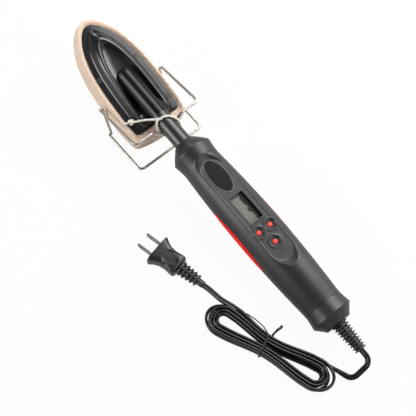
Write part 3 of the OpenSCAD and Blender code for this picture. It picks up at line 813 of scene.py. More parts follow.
BLADE = Grained("blade_nickel", (0.2, 0.19, 0.172), 0.34, grains=1400.0, bump=0.02, metallic=1.0)
ALUMINIUM = Grained("sole_aluminium", (0.78, 0.78, 0.79), 0.35, grains=1500.0, metallic=1.0)
HEATER = Grained("heater_steel", (0.35, 0.34, 0.33), 0.45, grains=900.0, metallic=1.0)
BRASS = Grained("sensor_brass", (0.68, 0.50, 0.22), 0.35, grains=900.0, metallic=1.0)
RUBBER = Grained("cord_black", (0.0045, 0.0043, 0.0053), 0.28, grains=1500.0, bump=0.02, specular=0.45)
RELIEF = Grained("relief_black", (0.024, 0.024, 0.026), 0.42, grains=1800.0, slot="cord_black")
PLUG = Grained("plug_black", (0.007, 0.0067, 0.0082), 0.36, grains=1800.0, slot="cord_black")
TIE = Grained("tie_black", (0.008, 0.008, 0.008), 0.34, grains=1500.0)
LABEL = Grained("label_plain", (0.005, 0.005, 0.0055), 0.3, grains=1500.0, bump=0.05, specular=0.12)
LABEL_RIM = Grained("label_rim", (0.09, 0.09, 0.095), 0.4, grains=1500.0, bump=0.05, slot="label_plain")
LCD = Grained("lcd_green", (0.235, 0.25, 0.215), 0.5, grains=500.0, bump=0.02, tint=0.06, specular=0.15)
BOARD = Grained("board_green", (0.015, 0.13, 0.05), 0.4, grains=900.0)
SWITCH = Grained("switch_black", (0.006, 0.006, 0.0065), 0.5, grains=900.0, specular=0.2)
LEAD = Grained("lead_white", (0.72, 0.71, 0.68), 0.5, grains=900.0)
SOCK = Woven("cotton_sock", (0.72, 0.55, 0.42), 1500.0)
STRING = Woven("cotton_string", (0.86, 0.81, 0.72), 2200.0)
GLASS = Clear("display_glass")

CAD_FINISHES = {
    HANDLE: ("upper_shell", "lower_shell", "end_cap"),
    COLLAR: ("front_collar",),
    GLOSS_BLACK: ("shoe_cover",),
    SHAFT: ("shaft_tube",),
    RED: ("side_strip_left", "side_strip_right", "button_up", "button_down", "button_power"),
    NICKEL: ("wire_stand",),
    STEEL: ("cover_screws", "handle_screws"),
    BLADE: ("plug_blades",),
    ALUMINIUM: ("sole_plate",),
    HEATER: ("heating_element",),
    BRASS: ("thermal_sensor",),
    RUBBER: ("strain_relief", "plug_relief", "plug_body", "iron_cord", "cord_hank", "plug_cord"),
    TIE: ("twist_tie",),
    LABEL: ("label_plate",),
    LCD: ("lcd_module",),
    BOARD: ("circuit_board",),
    SWITCH: ("tact_switches",),
    LEAD: ("heater_leads",),
    GLASS: ("display_window",),
    SOCK: ("cover_sock",),
    STRING: ("sock_drawstring",),
}
CAD_SHARP_DEG = 28


def dress(obj: Object, finish: Finish) -> Object:
    """Gives an object one finish all over.

    Args:
        obj: A piece or a CAD node.
        finish: What to build its material from.

    Returns:
        The object.
    """
    obj.data.materials.clear()
    obj.data.materials.append(finish.material())
    obj["finish"] = finish.name
    return obj


def dress_cad(nodes: dict[str, Object]) -> None:
    """Gives every CAD node its finish and smooth shading, those that a piece stands for too.

    Args:
        nodes: Node name to object, as the frame gives them.
    """
    for finish, names in CAD_FINISHES.items():
        for name in names:
            mesh = dress(nodes[name], finish).data
            mesh.polygons.foreach_set("use_smooth", np.ones(len(mesh.polygons), bool))
            mesh.set_sharp_from_angle(angle=math.radians(CAD_SHARP_DEG))


def add_piece(obj: Object, finish: Finish, replaces: Sequence[str] = (), body: Body = Body.IRON) -> Object:
    """Dresses a piece, hides what it stands for and lets it ride.

    Args:
        obj: The new piece, in place.
        finish: Its finish.
        replaces: CAD nodes that it stands for.
        body: CAD body that it moves with.

    Returns:
        The piece.
    """
    dress(obj, finish)
    if replaces:
        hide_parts(*replaces)
    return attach(obj, body.value)


# Stand


@dataclass
class WireStand:
    """The bent wire rest: a foot frame, two legs, an upper frame and a cradle for the shaft."""

    at: IronFrame
    wire_d: float = 2.5
    half: float = 36.5
    leg_half: float = 33.9
    rear_x: float = 127.7
    rear_join: float = 0.3
    foot_x: float = 176.6
    front_x: float = 186.4
    front_z: float = 36.2
    cradle_x: float = 132.2
    cradle_z: float = 45.4
    cradle_half: float = 16.3
    cradle_floor_half: float = 9.5
    shaft_r: float = 8.5
    shaft_gap: float = 0.3
    bend: float = 4.5
    bend_steps: int = 10
    spacing: float = 0.9
    sides: int = 20

    def route(self) -> Array:
        """Lays the wire's centreline, the left half mirrored to the right.

        Returns:
            Its points in metres.
        """
        r = self.wire_d / 2
        axis_z = self.at.rest_z + self.cradle_x * math.tan(self.at.tilt)
        floor_z = axis_z - self.shaft_r / math.cos(self.at.tilt) - self.shaft_gap - r
        left = [
            (self.rear_x, self.rear_join, r), (self.rear_x, self.half, r),
            (self.foot_x, self.half, r), (self.foot_x, self.leg_half, r),
            (self.front_x, self.leg_half, self.front_z), (self.front_x, self.half, self.front_z),
            (self.cradle_x, self.half, self.cradle_z), (self.cradle_x, self.cradle_half, self.cradle_z),
            (self.cradle_x, self.cradle_floor_half, floor_z),
        ]
        right = [(x, -y, z) for x, y, z in reversed(left)]
        return self.at.table(*even_line(rounded(left + right, self.bend, self.bend_steps), self.spacing).T)

    def build(self) -> list[Object]:
        """Makes the wire on its own body.

        Returns:
            The wire.
        """
        values = {"Radius": self.wire_d / 2 * MM, "Sides": self.sides, "Material": NICKEL.material()}
        wire = draw_along("stand_wire", self.route(), wire_tree, values)
        return [add_piece(wire, NICKEL, ["wire_stand"], Body.STAND)]


# Shoe, its cover, sock and drawstring


@dataclass(frozen=True)
class Puckers:
    """Folds of the drawn cloth: fine ones along the hem and broad slack ones on the side below it.

    A wave holds its length round the sock, its share and where it starts.
    """

    fine: Rows = ((6.25, 1.0, 0.0), (10.0, 0.6, 1.3))
    broad: Rows = ((30.0, 1.0, 0.4), (50.0, 0.7, 2.0))
    fine_deep: float = 0.14
    broad_deep: float = 0.3
    hem_from: float = -9.0
    hem_over: float = 5.0
    side_from: float = -23.0
    side_over: float = 6.0
    side_to: float = -4.0
    side_fade: float = 5.0
    centre_u: float = 40.0
    stretch: float = 2.2

    def waves(self, rows: Rows, around: Array) -> Array:
        """The sum of some waves at places round the sock."""
        return sum(share * np.sin(around * FULL_TURN / length + start) for length, share, start in rows)

    def shift(self, grid: Array, around: Array) -> Array:
        """Works out how far the cloth stands away from the middle of the shoe.

        Args:
            grid: The sock's points in the shoe's frame, ring by ring.
            around: Places round the sock.

        Returns:
            Moves forward and to the left, in millimetres.
        """
        w = grid[..., 2]
        away = unit(np.stack([grid[..., 0] - self.centre_u, self.stretch * grid[..., 1]], axis=-1))
        hem = smoothstep((w - self.hem_from) / self.hem_over)
        slack = smoothstep((w - self.side_from) / self.side_over)
        slack = slack * smoothstep((self.side_to - w) / self.side_fade)
        fine = self.fine_deep * hem * self.waves(self.fine, around[None])
        broad = self.broad_deep * slack * self.waves(self.broad, around[None])
        return away * (fine + broad)[..., None]


@dataclass
class CoverSpine:
    """The half-round housing of the shaft on the cover: a blunt front, ribs round it and one along it."""

    at: IronFrame
    radius: float = 8.5
    start: float = 143.1
    end: float = 201.0
    blunt: float = 6.8
    tip_r: float = 0.05
    ribs: tuple[float, ...] = (4.6, 1.9)
    rib_h: float = 0.32
    rib_w: float = 0.45
    seam_at: float = math.radians(64)
    seam_h: float = 0.045
    seam_w: float = 0.07
    straight_rings: int = 24
    nose_rings: int = 40
    sides: int = 96
    sharp_deg: float = 50.0

    def build(self) -> list[Object]:
        """Makes the housing.

        Returns:
            The housing.
        """
        nose = np.linspace(0, math.pi / 2, self.nose_rings)[1:]
        front = self.end - self.blunt
        straight = np.linspace(self.start, front, self.straight_rings)
        s = np.concatenate([straight, front + self.blunt * np.sin(nose)])
        dome = np.maximum(self.radius * np.cos(nose), self.tip_r)
        size = np.concatenate([np.full(self.straight_rings, self.radius), dome])
        for rib in self.ribs:
            size = size + self.rib_h * ridge(s - (self.end - rib), self.rib_w)
        turn = turns(self.sides)
        seam = 1 + self.seam_h * ridge(turn - self.seam_at, self.seam_w)
        y = size[:, None] * (np.cos(turn) * seam)[None]
        z = size[:, None] * (np.sin(turn) * seam)[None]
        spine = Surface(self.at.handle(s[:, None], y, z)).build("cover_spine", self.sharp_deg)
        return [add_piece(spine, SPINE)]


@dataclass
class Shoe:
    """The boat-shaped shoe: its black cover with a ridge round a basin, and the sock drawn over it.

    A ring of the cover holds its half width, tip, heel and height. A ring of the sock or of its stitches
    holds how far it stands off the cover's outline and behind the heel, its height and its heel's bow.
    """

    at: IronFrame
    half: float = 26.0
    tip: float = 112.3
    tip_growth: float = 1.3
    widest: float = 21.0
    fore_power: int = 3
    fore_round: float = 0.62
    heel_draw: float = 1.6
    side_points: int = 160
    heel_points: int = 40
    count: int = 240
    softenings: int = 8
    girth: float = 300.0
    cover_ease: float = 2.2
    cover_steps: int = 4
    cover_sharp_deg: float = 50.0
    cover_rings: Rows = (
        (26, 112.3, 0, -2.2), (26, 112.3, 0, -0.1), (25.6, 111.8, 0.4, 0.28), (20.8, 106.6, 1.6, 0.3),
        (19.6, 105.0, 2.2, 1.2), (18.4, 102.2, 2.9, 3.9), (17.0, 98.8, 3.9, 6.6), (15.4, 95.2, 6.2, 8.6),
        (14.2, 92.4, 9.6, 9.1), (13.3, 90.2, 13.0, 8.7), (12.7, 88.8, 15.2, 7.4), (12.0, 87.4, 16.9, 7.0),
        (11.4, 86.0, 17.9, 5.1), (6.8, 70.0, 24, 4.8),
    )
    sock_ease: float = 1.4
    sock_steps: int = 5
    sock_sharp_deg: float = 75.0
    sock_rings: Rows = (
        (-12, -9, -24, 3), (2, 3, -24, 5), (5, 6, -22.6, 5), (6, 7, -20, 5), (5, 7, -10, 3),
        (4.4, 7, -5.2, 1.8), (4.1, 6.7, -4.6, 1.7), (4.5, 7.2, -3.6, 1.5), (4.3, 7.2, -0.6, 1.1),
        (3.6, 6.6, 1, 1), (2.5, 5.5, 1.2, 1), (1.2, 3.6, 0.5, 0.5), (0.4, 1, -0.6, 0),
    )
    flat_w: float = 0.110
    flat_l: float = 0.172
    blank_share: float = 0.68
    stitch_ring: tuple[float, ...] = (4.15, 6.75, -4.6, 1.7)
    stitch_half: float = 0.95
    stitch_r: float = 0.26
    stitch_pitch: float = 2.6
    stitch_rings: int = 9
    stitch_sides: int = 8
    stitch_blunt: float = 0.02
    stitch_sharp_deg: float = 80.0

    def outline(self, half: float, tip: float, heel: float, bow: float = 0.0) -> Array:
        """One boat outline from the tip round the left side, as (forward, left) points.

        Args:
            half: Half width at the widest place.
            tip: Where the tip is.
            heel: Where the heel's corners are.
            bow: How far the heel stands out between them.

        Returns:
            Evenly spaced points with eased corners.
        """
        u = heel + (tip - heel) * np.cos(np.linspace(0, math.pi / 2, self.side_points))
        ahead = np.clip(u - self.widest, 0, None) / (tip - self.widest)
        fore = half * np.clip(1 - ahead**self.fore_power, 0, 1) ** self.fore_round
        aft = half - self.heel_draw * (np.clip(self.widest - u, 0, None) / self.widest) ** 2
        side = np.where(u < self.widest, aft, fore)
        left = np.stack([u, side, np.zeros_like(u)], axis=1)
        across = np.linspace(1, -1, self.heel_points)[1:-1]
        rear = np.stack([heel - bow * (1 - across**2), across * side[-1], np.zeros_like(across)], axis=1)
        loop = np.vstack([left, rear, left[::-1] * [1, -1, 1]])
        even = even_line(loop, line_length(loop) / self.count)[: self.count, :2]
        for _ in range(self.softenings):
            even = (np.roll(even, 1, axis=0) + 2 * even + np.roll(even, -1, axis=0)) / 4
        return even

    def loft(self, rings: Array, puckers: Puckers | None = None) -> Surface:
        """A surface through outlines.

        Args:
            rings: Half width, tip, heel, height and heel bow of each.
            puckers: Folds of the surface, if it has any.

        Returns:
            The surface, with lengths in metres as its own coordinates.
        """
        rows = []
        for half, tip, heel, w, bow in rings:
            flat = self.outline(half, tip, heel, bow)
            rows.append(np.hstack([flat, np.full((len(flat), 1), w)]))
        grid = np.array(rows)
        run = np.concatenate([[0], np.cumsum(np.linalg.norm(np.diff(grid, axis=0), axis=2).mean(axis=1))])
        around = np.linspace(0, 1, self.count, endpoint=False) * self.girth
        if puckers is not None:
            grid[..., :2] += puckers.shift(grid, around)
        uv = np.stack(np.broadcast_arrays(around[None], run[:, None]), axis=-1) * MM
        return Surface(self.at.shoe(grid[..., 0], grid[..., 1], grid[..., 2]), uv)

    def grown(self, off: float, heel: float, w: float, bow: float) -> Array:
        """A ring that stands off the cover's outline."""
        return np.array([self.half + off, self.tip + self.tip_growth * off, -heel, w, bow])

    def build(self) -> list[Object]:
        """Makes the cover with its spine, and the sock with its stitches.

        Returns:
            The four pieces.
        """
        rings = rounded([(*ring, 0.0) for ring in self.cover_rings], self.cover_ease, self.cover_steps)
        shell = self.loft(rings).build("shoe_cover_shell", self.cover_sharp_deg)
        cover = add_piece(shell, GLOSS_BLACK, ["shoe_cover"])
        return [cover, *CoverSpine(self.at).build(), *self.build_sock()]

    def build_sock(self) -> list[Object]:
        """Returns:
            The cloth and its stitches.
        """
        rings = rounded([self.grown(*ring) for ring in self.sock_rings], self.sock_ease, self.sock_steps)
        sock = self.loft(rings, Puckers()).build("cover_sock_cloth", self.sock_sharp_deg)
        add_piece(sock, SOCK, ["cover_sock"])
        stitches = self.build_stitches()
        return [sock, stitches]

    def build_stitches(self) -> Object:
        """Makes the row of stitches that closes the hem over its drawstring.

        Returns:
            The row.
        """
        half, tip, heel, w, bow = self.grown(*self.stitch_ring)
        line = self.at.shoe(*self.outline(half, tip, heel, bow).T, w)
        turn = np.linspace(-1, 1, self.stitch_rings)
        spindle = np.outer(turn * self.stitch_half, UP) * MM
        girth = np.sqrt(np.clip(1 - turn**2, self.stitch_blunt, 1))
        section = circle(self.stitch_r * MM, self.stitch_sides)
        stitch = swept(spindle, section, carried_frames, scale=girth).build("stitch", self.stitch_sharp_deg)
        count = round(line_length(line) / (self.stitch_pitch * MM))
        look = STRING.material()
        values = {"Count": count, "Piece": stitch, "Turn": 0.0, "End size": 1.0, "Material": look}
        row = draw_along("hem_stitches", line, row_tree, values, closed=True)
        bpy.data.objects.remove(stitch)
        return add_piece(row, STRING)


@dataclass
class Drawstring:
    """The cotton string that draws the sock tight: it leaves the hem, is knotted and loops the shaft."""

    at: IronFrame
    radius: float = 1.12
    plies: int = 3
    ply_low: float = 0.74
    ply_rise: float = 0.26
    sides: int = 24
    twist: float = 3.4
    spacing: float = 0.35
    sharp_deg: float = 80.0
    knot: Point = (14.0, 22.4, 3.6)
    knot_size: float = 0.72
    knot_high: float = 1.4
    knot_points: int = 40
    hem_end: Point = (16.7, 29.4, 2.3)
    into_hem: Rows = ((0.6, 1.0, -1.4), (0.9, 0.9, -3.4))
    leave: Rows = ((0, 0, 1.0), (-2.4, -2.6, 3.4), (-7, -9, 10))
    loop_s: float = 137.5
    loop_sag: float = 15.5
    loop_r: float = 9.95
    loop_from: float = 60.0
    loop_span: float = 365.0
    loop_points: int = 34
    cross_rise: float = 2.3
    cross_from: float = 0.85
    cross_over: float = 0.15

    def section(self) -> Array:
        """Three plies side by side, in metres."""
        r = self.radius * (self.ply_low + self.ply_rise * np.abs(np.cos(self.plies / 2 * turns(self.sides))))
        return r[:, None] * circle(1.0, self.sides) * MM

    def strand(self, name: str, points: Array) -> Object:
        """Makes one length of twisted string.

        Args:
            name: Name of the object.
            points: Points of the handle's frame that it passes through.

        Returns:
            The object.
        """
        line = smooth_line(points, self.spacing)
        run = np.arange(len(line)) * line_length(line) / (len(line) - 1)
        roll = FULL_TURN * run / self.twist
        string = swept(self.at.handle(*line.T), self.section(), carried_frames, roll=roll)
        return string.build(name, self.sharp_deg)

    def build(self) -> list[Object]:
        """Makes the loop, the knot and the end that goes into the hem.

        Returns:
            The three pieces.
        """
        knot, hem = np.array(self.knot), np.array(self.hem_end)
        share = np.linspace(0, 1, self.loop_points)
        turn = np.radians(self.loop_from + self.loop_span * share)
        r = self.loop_r + self.cross_rise * smoothstep((share - self.cross_from) / self.cross_over)
        sag = self.loop_s - self.loop_sag * (1 - np.cos(turn - turn[0])) / 2
        loop = np.stack([sag, r * np.cos(turn), r * np.sin(turn)], axis=1)
        leave = self.at.shoe_to_handle(knot + np.array(self.leave))
        t = np.linspace(0, FULL_TURN, self.knot_points)
        across, along = np.sin(t) + 2 * np.sin(2 * t), np.cos(t) - 2 * np.cos(2 * t)
        trefoil = np.stack([across, along, -self.knot_high * np.sin(3 * t)], axis=1)
        tail = np.array([knot, knot + 0.5 * (hem - knot), hem, *(hem + np.array(self.into_hem))])
        plans = (
            ("drawstring_loop", np.vstack([leave, loop]), ["sock_drawstring"]),
            ("drawstring_knot", self.at.shoe_to_handle(knot + self.knot_size * trefoil), []),
            ("drawstring_tail", self.at.shoe_to_handle(tail), []),
        )
        return [add_piece(self.strand(name, points), STRING, nodes) for name, points, nodes in plans]


# Handle

EXP_LIMIT = 60


@dataclass
class HandleShell:
    """The moulded upper shell: barrel, flare, long scooped panel, display recess and button dimples.

    The display holds its middle, half length and half width. A pair of the panel's lip holds its plain size
    and what its front end adds. A span of the grid holds its first station, its end and its step.
    """

    at: IronFrame
    waist_r: float = 18.6
    swell: float = 3.0
    half: float = 82.0
    flare_s: float = 96.0
    flare_rise: float = 1.5
    flare_power: float = 1.6
    nose_s: float = 101.0
    nose_r: float = 16.4
    corner_steps: tuple[float, ...] = (-0.7, -0.35, 0.0, 0.35, 0.7)
    panel_front: float = 84.0
    panel_rear: float = -43.0
    panel_half: float = 11.5
    panel_drop: float = 3.8
    panel_wall: float = 0.45
    scoop: float = 6.0
    rear_scoop: float = 7.5
    scoop_ease: float = 0.4
    lip_from: float = 70.0
    lip_over: float = 9.0
    lip_h: tuple[float, float] = (0.15, 0.3)
    lip_out: tuple[float, float] = (1.0, 0.5)
    lip_w: tuple[float, float] = (0.6, 0.6)
    display: tuple[float, float, float] = (22.5, 14.75, 7.0)
    display_deep: float = 4.5
    bar_gap: float = 1.3
    bar_h: float = 0.4
    bar_w: float = 0.5
    bar_past: float = 1.6
    bar_fade: float = 0.8
    window_top: float = 14.447
    buttons: tuple[tuple[float, float], ...] = ((-2.2, -6.45), (-2.2, 6.45), (-16.8, 0.0))
    dimple_r: float = 5.25
    dimple_floor_r: float = 3.2
    dimple_deep: float = 0.9
    rim_h: float = 0.4
    rim_out: float = 0.5
    rim_w: float = 0.7
    hole_r: float = 2.5
    hole_deep: float = 3.4
    hole_wall: float = 0.3
    wall: float = 2.0
    lining_top: float = 9.0
    top_half: float = 13.2
    seam_groove: float = 0.18
    seam_from: float = 0.97
    seam_over: float = 0.03
    spans: Rows = ((-83.9, -45.0, 1.4), (-45.0, 4.25, 0.4), (4.0, 86.0, 0.6), (86.0, 101.0, 0.9))
    recess_wall: float = 0.03
    top_columns: int = 71
    skirt_columns: int = 21
    lining_columns: int = 24
    sharp_deg: float = 55.0

    def barrel(self, s: Array) -> Array:
        """Radius of the swelling barrel at a station."""
        return self.waist_r + self.swell * (1 - (s / self.half) ** 2)

    def deck(self, s: Array) -> Array:
        """Height of the panel's floor at a station."""
        return self.barrel(s) - self.panel_drop

    def radius(self, s: Array) -> Array:
        """Outer radius of the shell.

        Args:
            s: Stations along the handle.

        Returns:
            The radius at each, with the corners of flare and nose left sharp.
        """
        ahead = np.clip(s - self.half, 0, None) / (self.flare_s - self.half)
        flare = self.waist_r + self.flare_rise * ahead**self.flare_power
        slope = (self.waist_r + self.flare_rise - self.nose_r) / (self.nose_s - self.flare_s)
        nose = self.waist_r + self.flare_rise - slope * (s - self.flare_s)
        outer = np.where(s > self.flare_s, nose, flare)
        return np.where(np.abs(s) <= self.half, self.barrel(s), outer)

    def eased_radius(self, s: Array) -> Array:
        """The same radius with its corners eased."""
        return np.mean([self.radius(s + step) for step in self.corner_steps], axis=0)

    def panel_edge(self, s: Array, y: Array) -> Array:
        """Distance from the panel's stadium outline.

        Args:
            s: Stations along the handle.
            y: Places across it.

        Returns:
            The distances, negative inside.
        """
        middle = (self.panel_front + self.panel_rear) / 2
        straight = (self.panel_front - self.panel_rear) / 2 - self.panel_half
        return np.hypot(np.clip(np.abs(s - middle) - straight, 0, None), y) - self.panel_half

    def top(self, s: Array, y: Array, base: Array) -> Array:
        """Height of the shell's top above the axis.

        Args:
            s: Stations along the handle.
            y: Places across it.
            base: Height of the plain barrel there.

        Returns:
            Heights with the panel, its scoop, the dimples and the display recess cut in.
        """
        edge = self.panel_edge(s, y)
        inside = self.deck(s)
        bow = self.panel_half - np.sqrt(np.clip(self.panel_half**2 - y**2, 0, None))
        for end, scoop, way in ((self.panel_front, self.scoop, 1), (self.panel_rear, self.rear_scoop, -1)):
            ramp = self.deck(np.array(end)) + (1 + (way * (s - end) + bow) / scoop) * self.panel_drop
            above = np.clip((ramp - inside) / self.scoop_ease, -EXP_LIMIT, EXP_LIMIT)
            inside = inside + self.scoop_ease * np.logaddexp(0, above)
        z = base - smoothstep(self.panel_wall - edge) * np.clip(base - inside, 0, None)
        front = smoothstep((s - self.lip_from) / self.lip_over)
        pairs = (self.lip_h, self.lip_out, self.lip_w)
        high, out, wide = (plain + more * front for plain, more in pairs)
        z = z + high * ridge(edge - out, wide)
        at_s, half_l, half_w = self.display
        bar = ridge(s - (at_s - half_l - self.bar_gap), self.bar_w)
        z = z + self.bar_h * bar * smoothstep((half_w + self.bar_past - np.abs(y)) / self.bar_fade)
        for button_s, button_y in self.buttons:
            q = np.hypot(s - button_s, y - button_y)
            cone = np.clip((self.dimple_r - q) / (self.dimple_r - self.dimple_floor_r), 0, 1)
            rim = self.rim_h * ridge(q - self.dimple_r - self.rim_out, self.rim_w)
            z = z - self.dimple_deep * smoothstep(cone) + rim
            z = z - self.hole_deep * smoothstep((self.hole_r + self.hole_wall / 2 - q) / self.hole_wall)
        sunk = (np.abs(s - at_s) < half_l) & (np.abs(y) < half_w)
        return np.where(sunk, self.window_top - self.display_deep, z)

    def build(self) -> list[Object]:
        """Makes the shell as one fine grid from side to side, closed by its lining.

        Returns:
            The shell.
        """
        at_s, half_l, half_w = self.display
        inset = self.recess_wall
        walls = [at_s - half_l, at_s - half_l + inset, at_s + half_l - inset, at_s + half_l]
        stations = [np.arange(*span) for span in self.spans]
        s = np.unique(np.concatenate([*stations, walls, [self.nose_s]]))[:, None]
        plain = np.linspace(-self.top_half, self.top_half, self.top_columns)
        inner = np.unique(np.concatenate([plain, [half_w, half_w - inset, inset - half_w, -half_w]]))
        r = self.eased_radius(s)
        y_in = np.broadcast_to(inner[::-1][None], (len(s), len(inner)))
        z_in = self.top(np.broadcast_to(s, y_in.shape), y_in, np.sqrt(r**2 - y_in**2))
        edge = np.arcsin(self.top_half / r)
        share = np.linspace(1, 0, self.skirt_columns + 1)[None, :-1]
        turn = edge + (math.pi / 2 - edge) * share
        skirt_r = r - self.seam_groove * smoothstep((share - self.seam_from) / self.seam_over)
        y_out, z_out = skirt_r * np.sin(turn), skirt_r * np.cos(turn)
        lining = np.linspace(-math.pi / 2, math.pi / 2, self.lining_columns)[None]
        y_back = (r - self.wall) * np.sin(lining)
        z_back = self.lining_top * np.cos(lining) * np.ones_like(r)
        y = np.hstack([y_out, y_in, -y_out[:, ::-1], y_back])
        z = np.hstack([z_out, z_in, z_out[:, ::-1], z_back])
        shell = Surface(self.at.handle(s, y, z)).build("upper_shell_moulding", self.sharp_deg)
        return [add_piece(shell, HANDLE, ["upper_shell"])]


@dataclass
class DisplayBorderAndShade:
    """A dark sheet on the window beside the read-out, partly its printed border and partly painted shade cast
    by the recess wall; a cut holds its place and width.
    """

    shell: HandleShell
    # places and widths of the dark sheet; its ragged inner edge follows the painted shade
    cuts: Rows = (
        (0.0, 3.4), (10.6, 3.4), (10.7, 5.4), (13.6, 5.4), (13.7, 3.8), (18.8, 3.8), (18.9, 4.6), (26, 4.6),
        (26.1, 3.2), (29.5, 3.2),
    )
    edge_gap: float = 0.02
    over: float = 0.03
    under: float = 0.05
    sharp_deg: float = 30.0

    def build(self) -> list[Object]:
        """Makes the border with its painted shade as a thin solid.

        Returns:
            The border with its painted shade.
        """
        at_s, half_l, half_w = self.shell.display
        run, width = np.array(self.cuts).T[:, :, None]
        inner = width - half_w
        outer = np.full_like(inner, self.edge_gap - half_w)
        z = self.shell.window_top + np.array([self.over, self.over, -self.under, -self.under])
        rows = self.shell.at.handle(at_s - half_l + run, np.hstack([inner, outer, outer, inner]), z)
        # black sheet standing for the printed border and the painted shade of the recess wall
        return [add_piece(Surface(rows).build("display_mask", self.sharp_deg), SWITCH)]


@dataclass
class LabelPlate:
    """The plain oval plate on the panel, with a slim rim round it; a ring holds its size and its height."""

    shell: HandleShell
    at_s: float = 60.6
    half_l: float = 18.9
    half_w: float = 8.6
    sides: int = 96
    face: Rows = (
        (0.93, -0.2), (0.93, 0.3), (0.925, 0.34), (0.915, 0.36), (0.88, 0.36), (0.45, 0.36), (0.01, 0.36),
    )
    rim: Rows = ((1.0, -0.2), (1.0, 0.25), (0.985, 0.42), (0.945, 0.42), (0.93, 0.25), (0.93, -0.2))

    def oval(self, rings: Rows, caps: bool) -> Surface:
        """A surface through ovals that follow the panel's floor.

        Args:
            rings: Size and height of each oval.
            caps: Whether the first and the last are closed, or joined to each other.

        Returns:
            The surface.
        """
        size, height = np.array(rings).T[:, :, None]
        turn = turns(self.sides)
        s = self.at_s + self.half_l * size * np.cos(turn)
        y = self.half_w * size * np.sin(turn)
        return Surface(self.shell.at.handle(s, y, self.shell.deck(s) + height), caps=caps)

    def build(self) -> list[Object]:
        """Makes the plate's face and its rim.

        Returns:
            Both pieces.
        """
        face = add_piece(self.oval(self.face, caps=True).build("label_face"), LABEL, ["label_plate"])
        rim = add_piece(self.oval(self.rim, caps=False).build("label_rim"), LABEL_RIM)
        return [face, rim]


@dataclass
class ButtonSigns:
    """Raised signs by the buttons: an arrow by each of the front pair, a ring with a bar by the rear one."""

    shell: HandleShell
    wire_r: float = 0.26
    sides: int = 10
    lift: float = 0.05
    up: Rows = ((-10.4, -8.6), (-8.2, -7.5), (-10.4, -6.4))
    down: Rows = ((-8.2, 6.4), (-10.4, 7.5), (-8.2, 8.6))
    ring_s: float = -26.2
    ring_r: float = 2.1
    ring_from: float = 35.0
    ring_to: float = 325.0
    ring_points: int = 24
    bar: Rows = ((-25.6, 0.0), (-23.2, 0.0))

    def build(self) -> list[Object]:
        """Makes each sign as a thin wire on the panel's floor.

        Returns:
            The four signs.
        """
        arc = np.radians(np.linspace(self.ring_from, self.ring_to, self.ring_points))
        ring = np.stack([self.ring_s + self.ring_r * np.cos(arc), self.ring_r * np.sin(arc)], axis=1)
        values = {"Radius": self.wire_r * MM, "Sides": self.sides, "Material": HANDLE.material()}
        signs = []
        for name, plan in (("up", self.up), ("down", self.down), ("ring", ring), ("bar", self.bar)):
            s, y = np.array(plan).T
            line = self.shell.at.handle(s, y, self.shell.deck(s) + self.lift)
            signs.append(add_piece(draw_along(f"mark_{name}", line, wire_tree, values), HANDLE))
        return signs


@dataclass
class SideStrip:
    """The red leaf let into one side, lower edge on the lower shell and upper edge on the upper one."""

    shell: HandleShell
    side: Side
    middle: float = 5.0
    half: float = 33.5
    leaf: float = 37.5
    up: float = 5.4
    down: float = 8.4
    proud: float = 0.25
    deep: float = 1.0
    rings: int = 80
    columns: int = 14
    sharp_deg: float = 35.0

    def build(self) -> list[Object]:
        """Makes the leaf as a thin solid on the barrel.

        Returns:
            The leaf.
        """
        way, word = self.side.value, self.side.name.lower()
        s = np.linspace(-self.half, self.half, self.rings)[:, None]
        front = np.linspace(1, -1, self.columns)
        across = np.concatenate([front, front[::-1]])[::-way]
        proud = np.repeat([self.proud, -self.deep], self.columns)[::-way]
        z = np.where(across > 0, self.up, self.down) * across * (1 - (s / self.leaf) ** 2)
        r = self.shell.barrel(s + self.middle) + proud
        rows = self.shell.at.handle(s + self.middle, way * np.sqrt(r**2 - z**2), z)
        leaf = Surface(rows).build(f"side_strip_leaf_{word}", self.sharp_deg)
        return [add_piece(leaf, STRIP_RED, [f"side_strip_{word}"])]


# Reliefs and plug


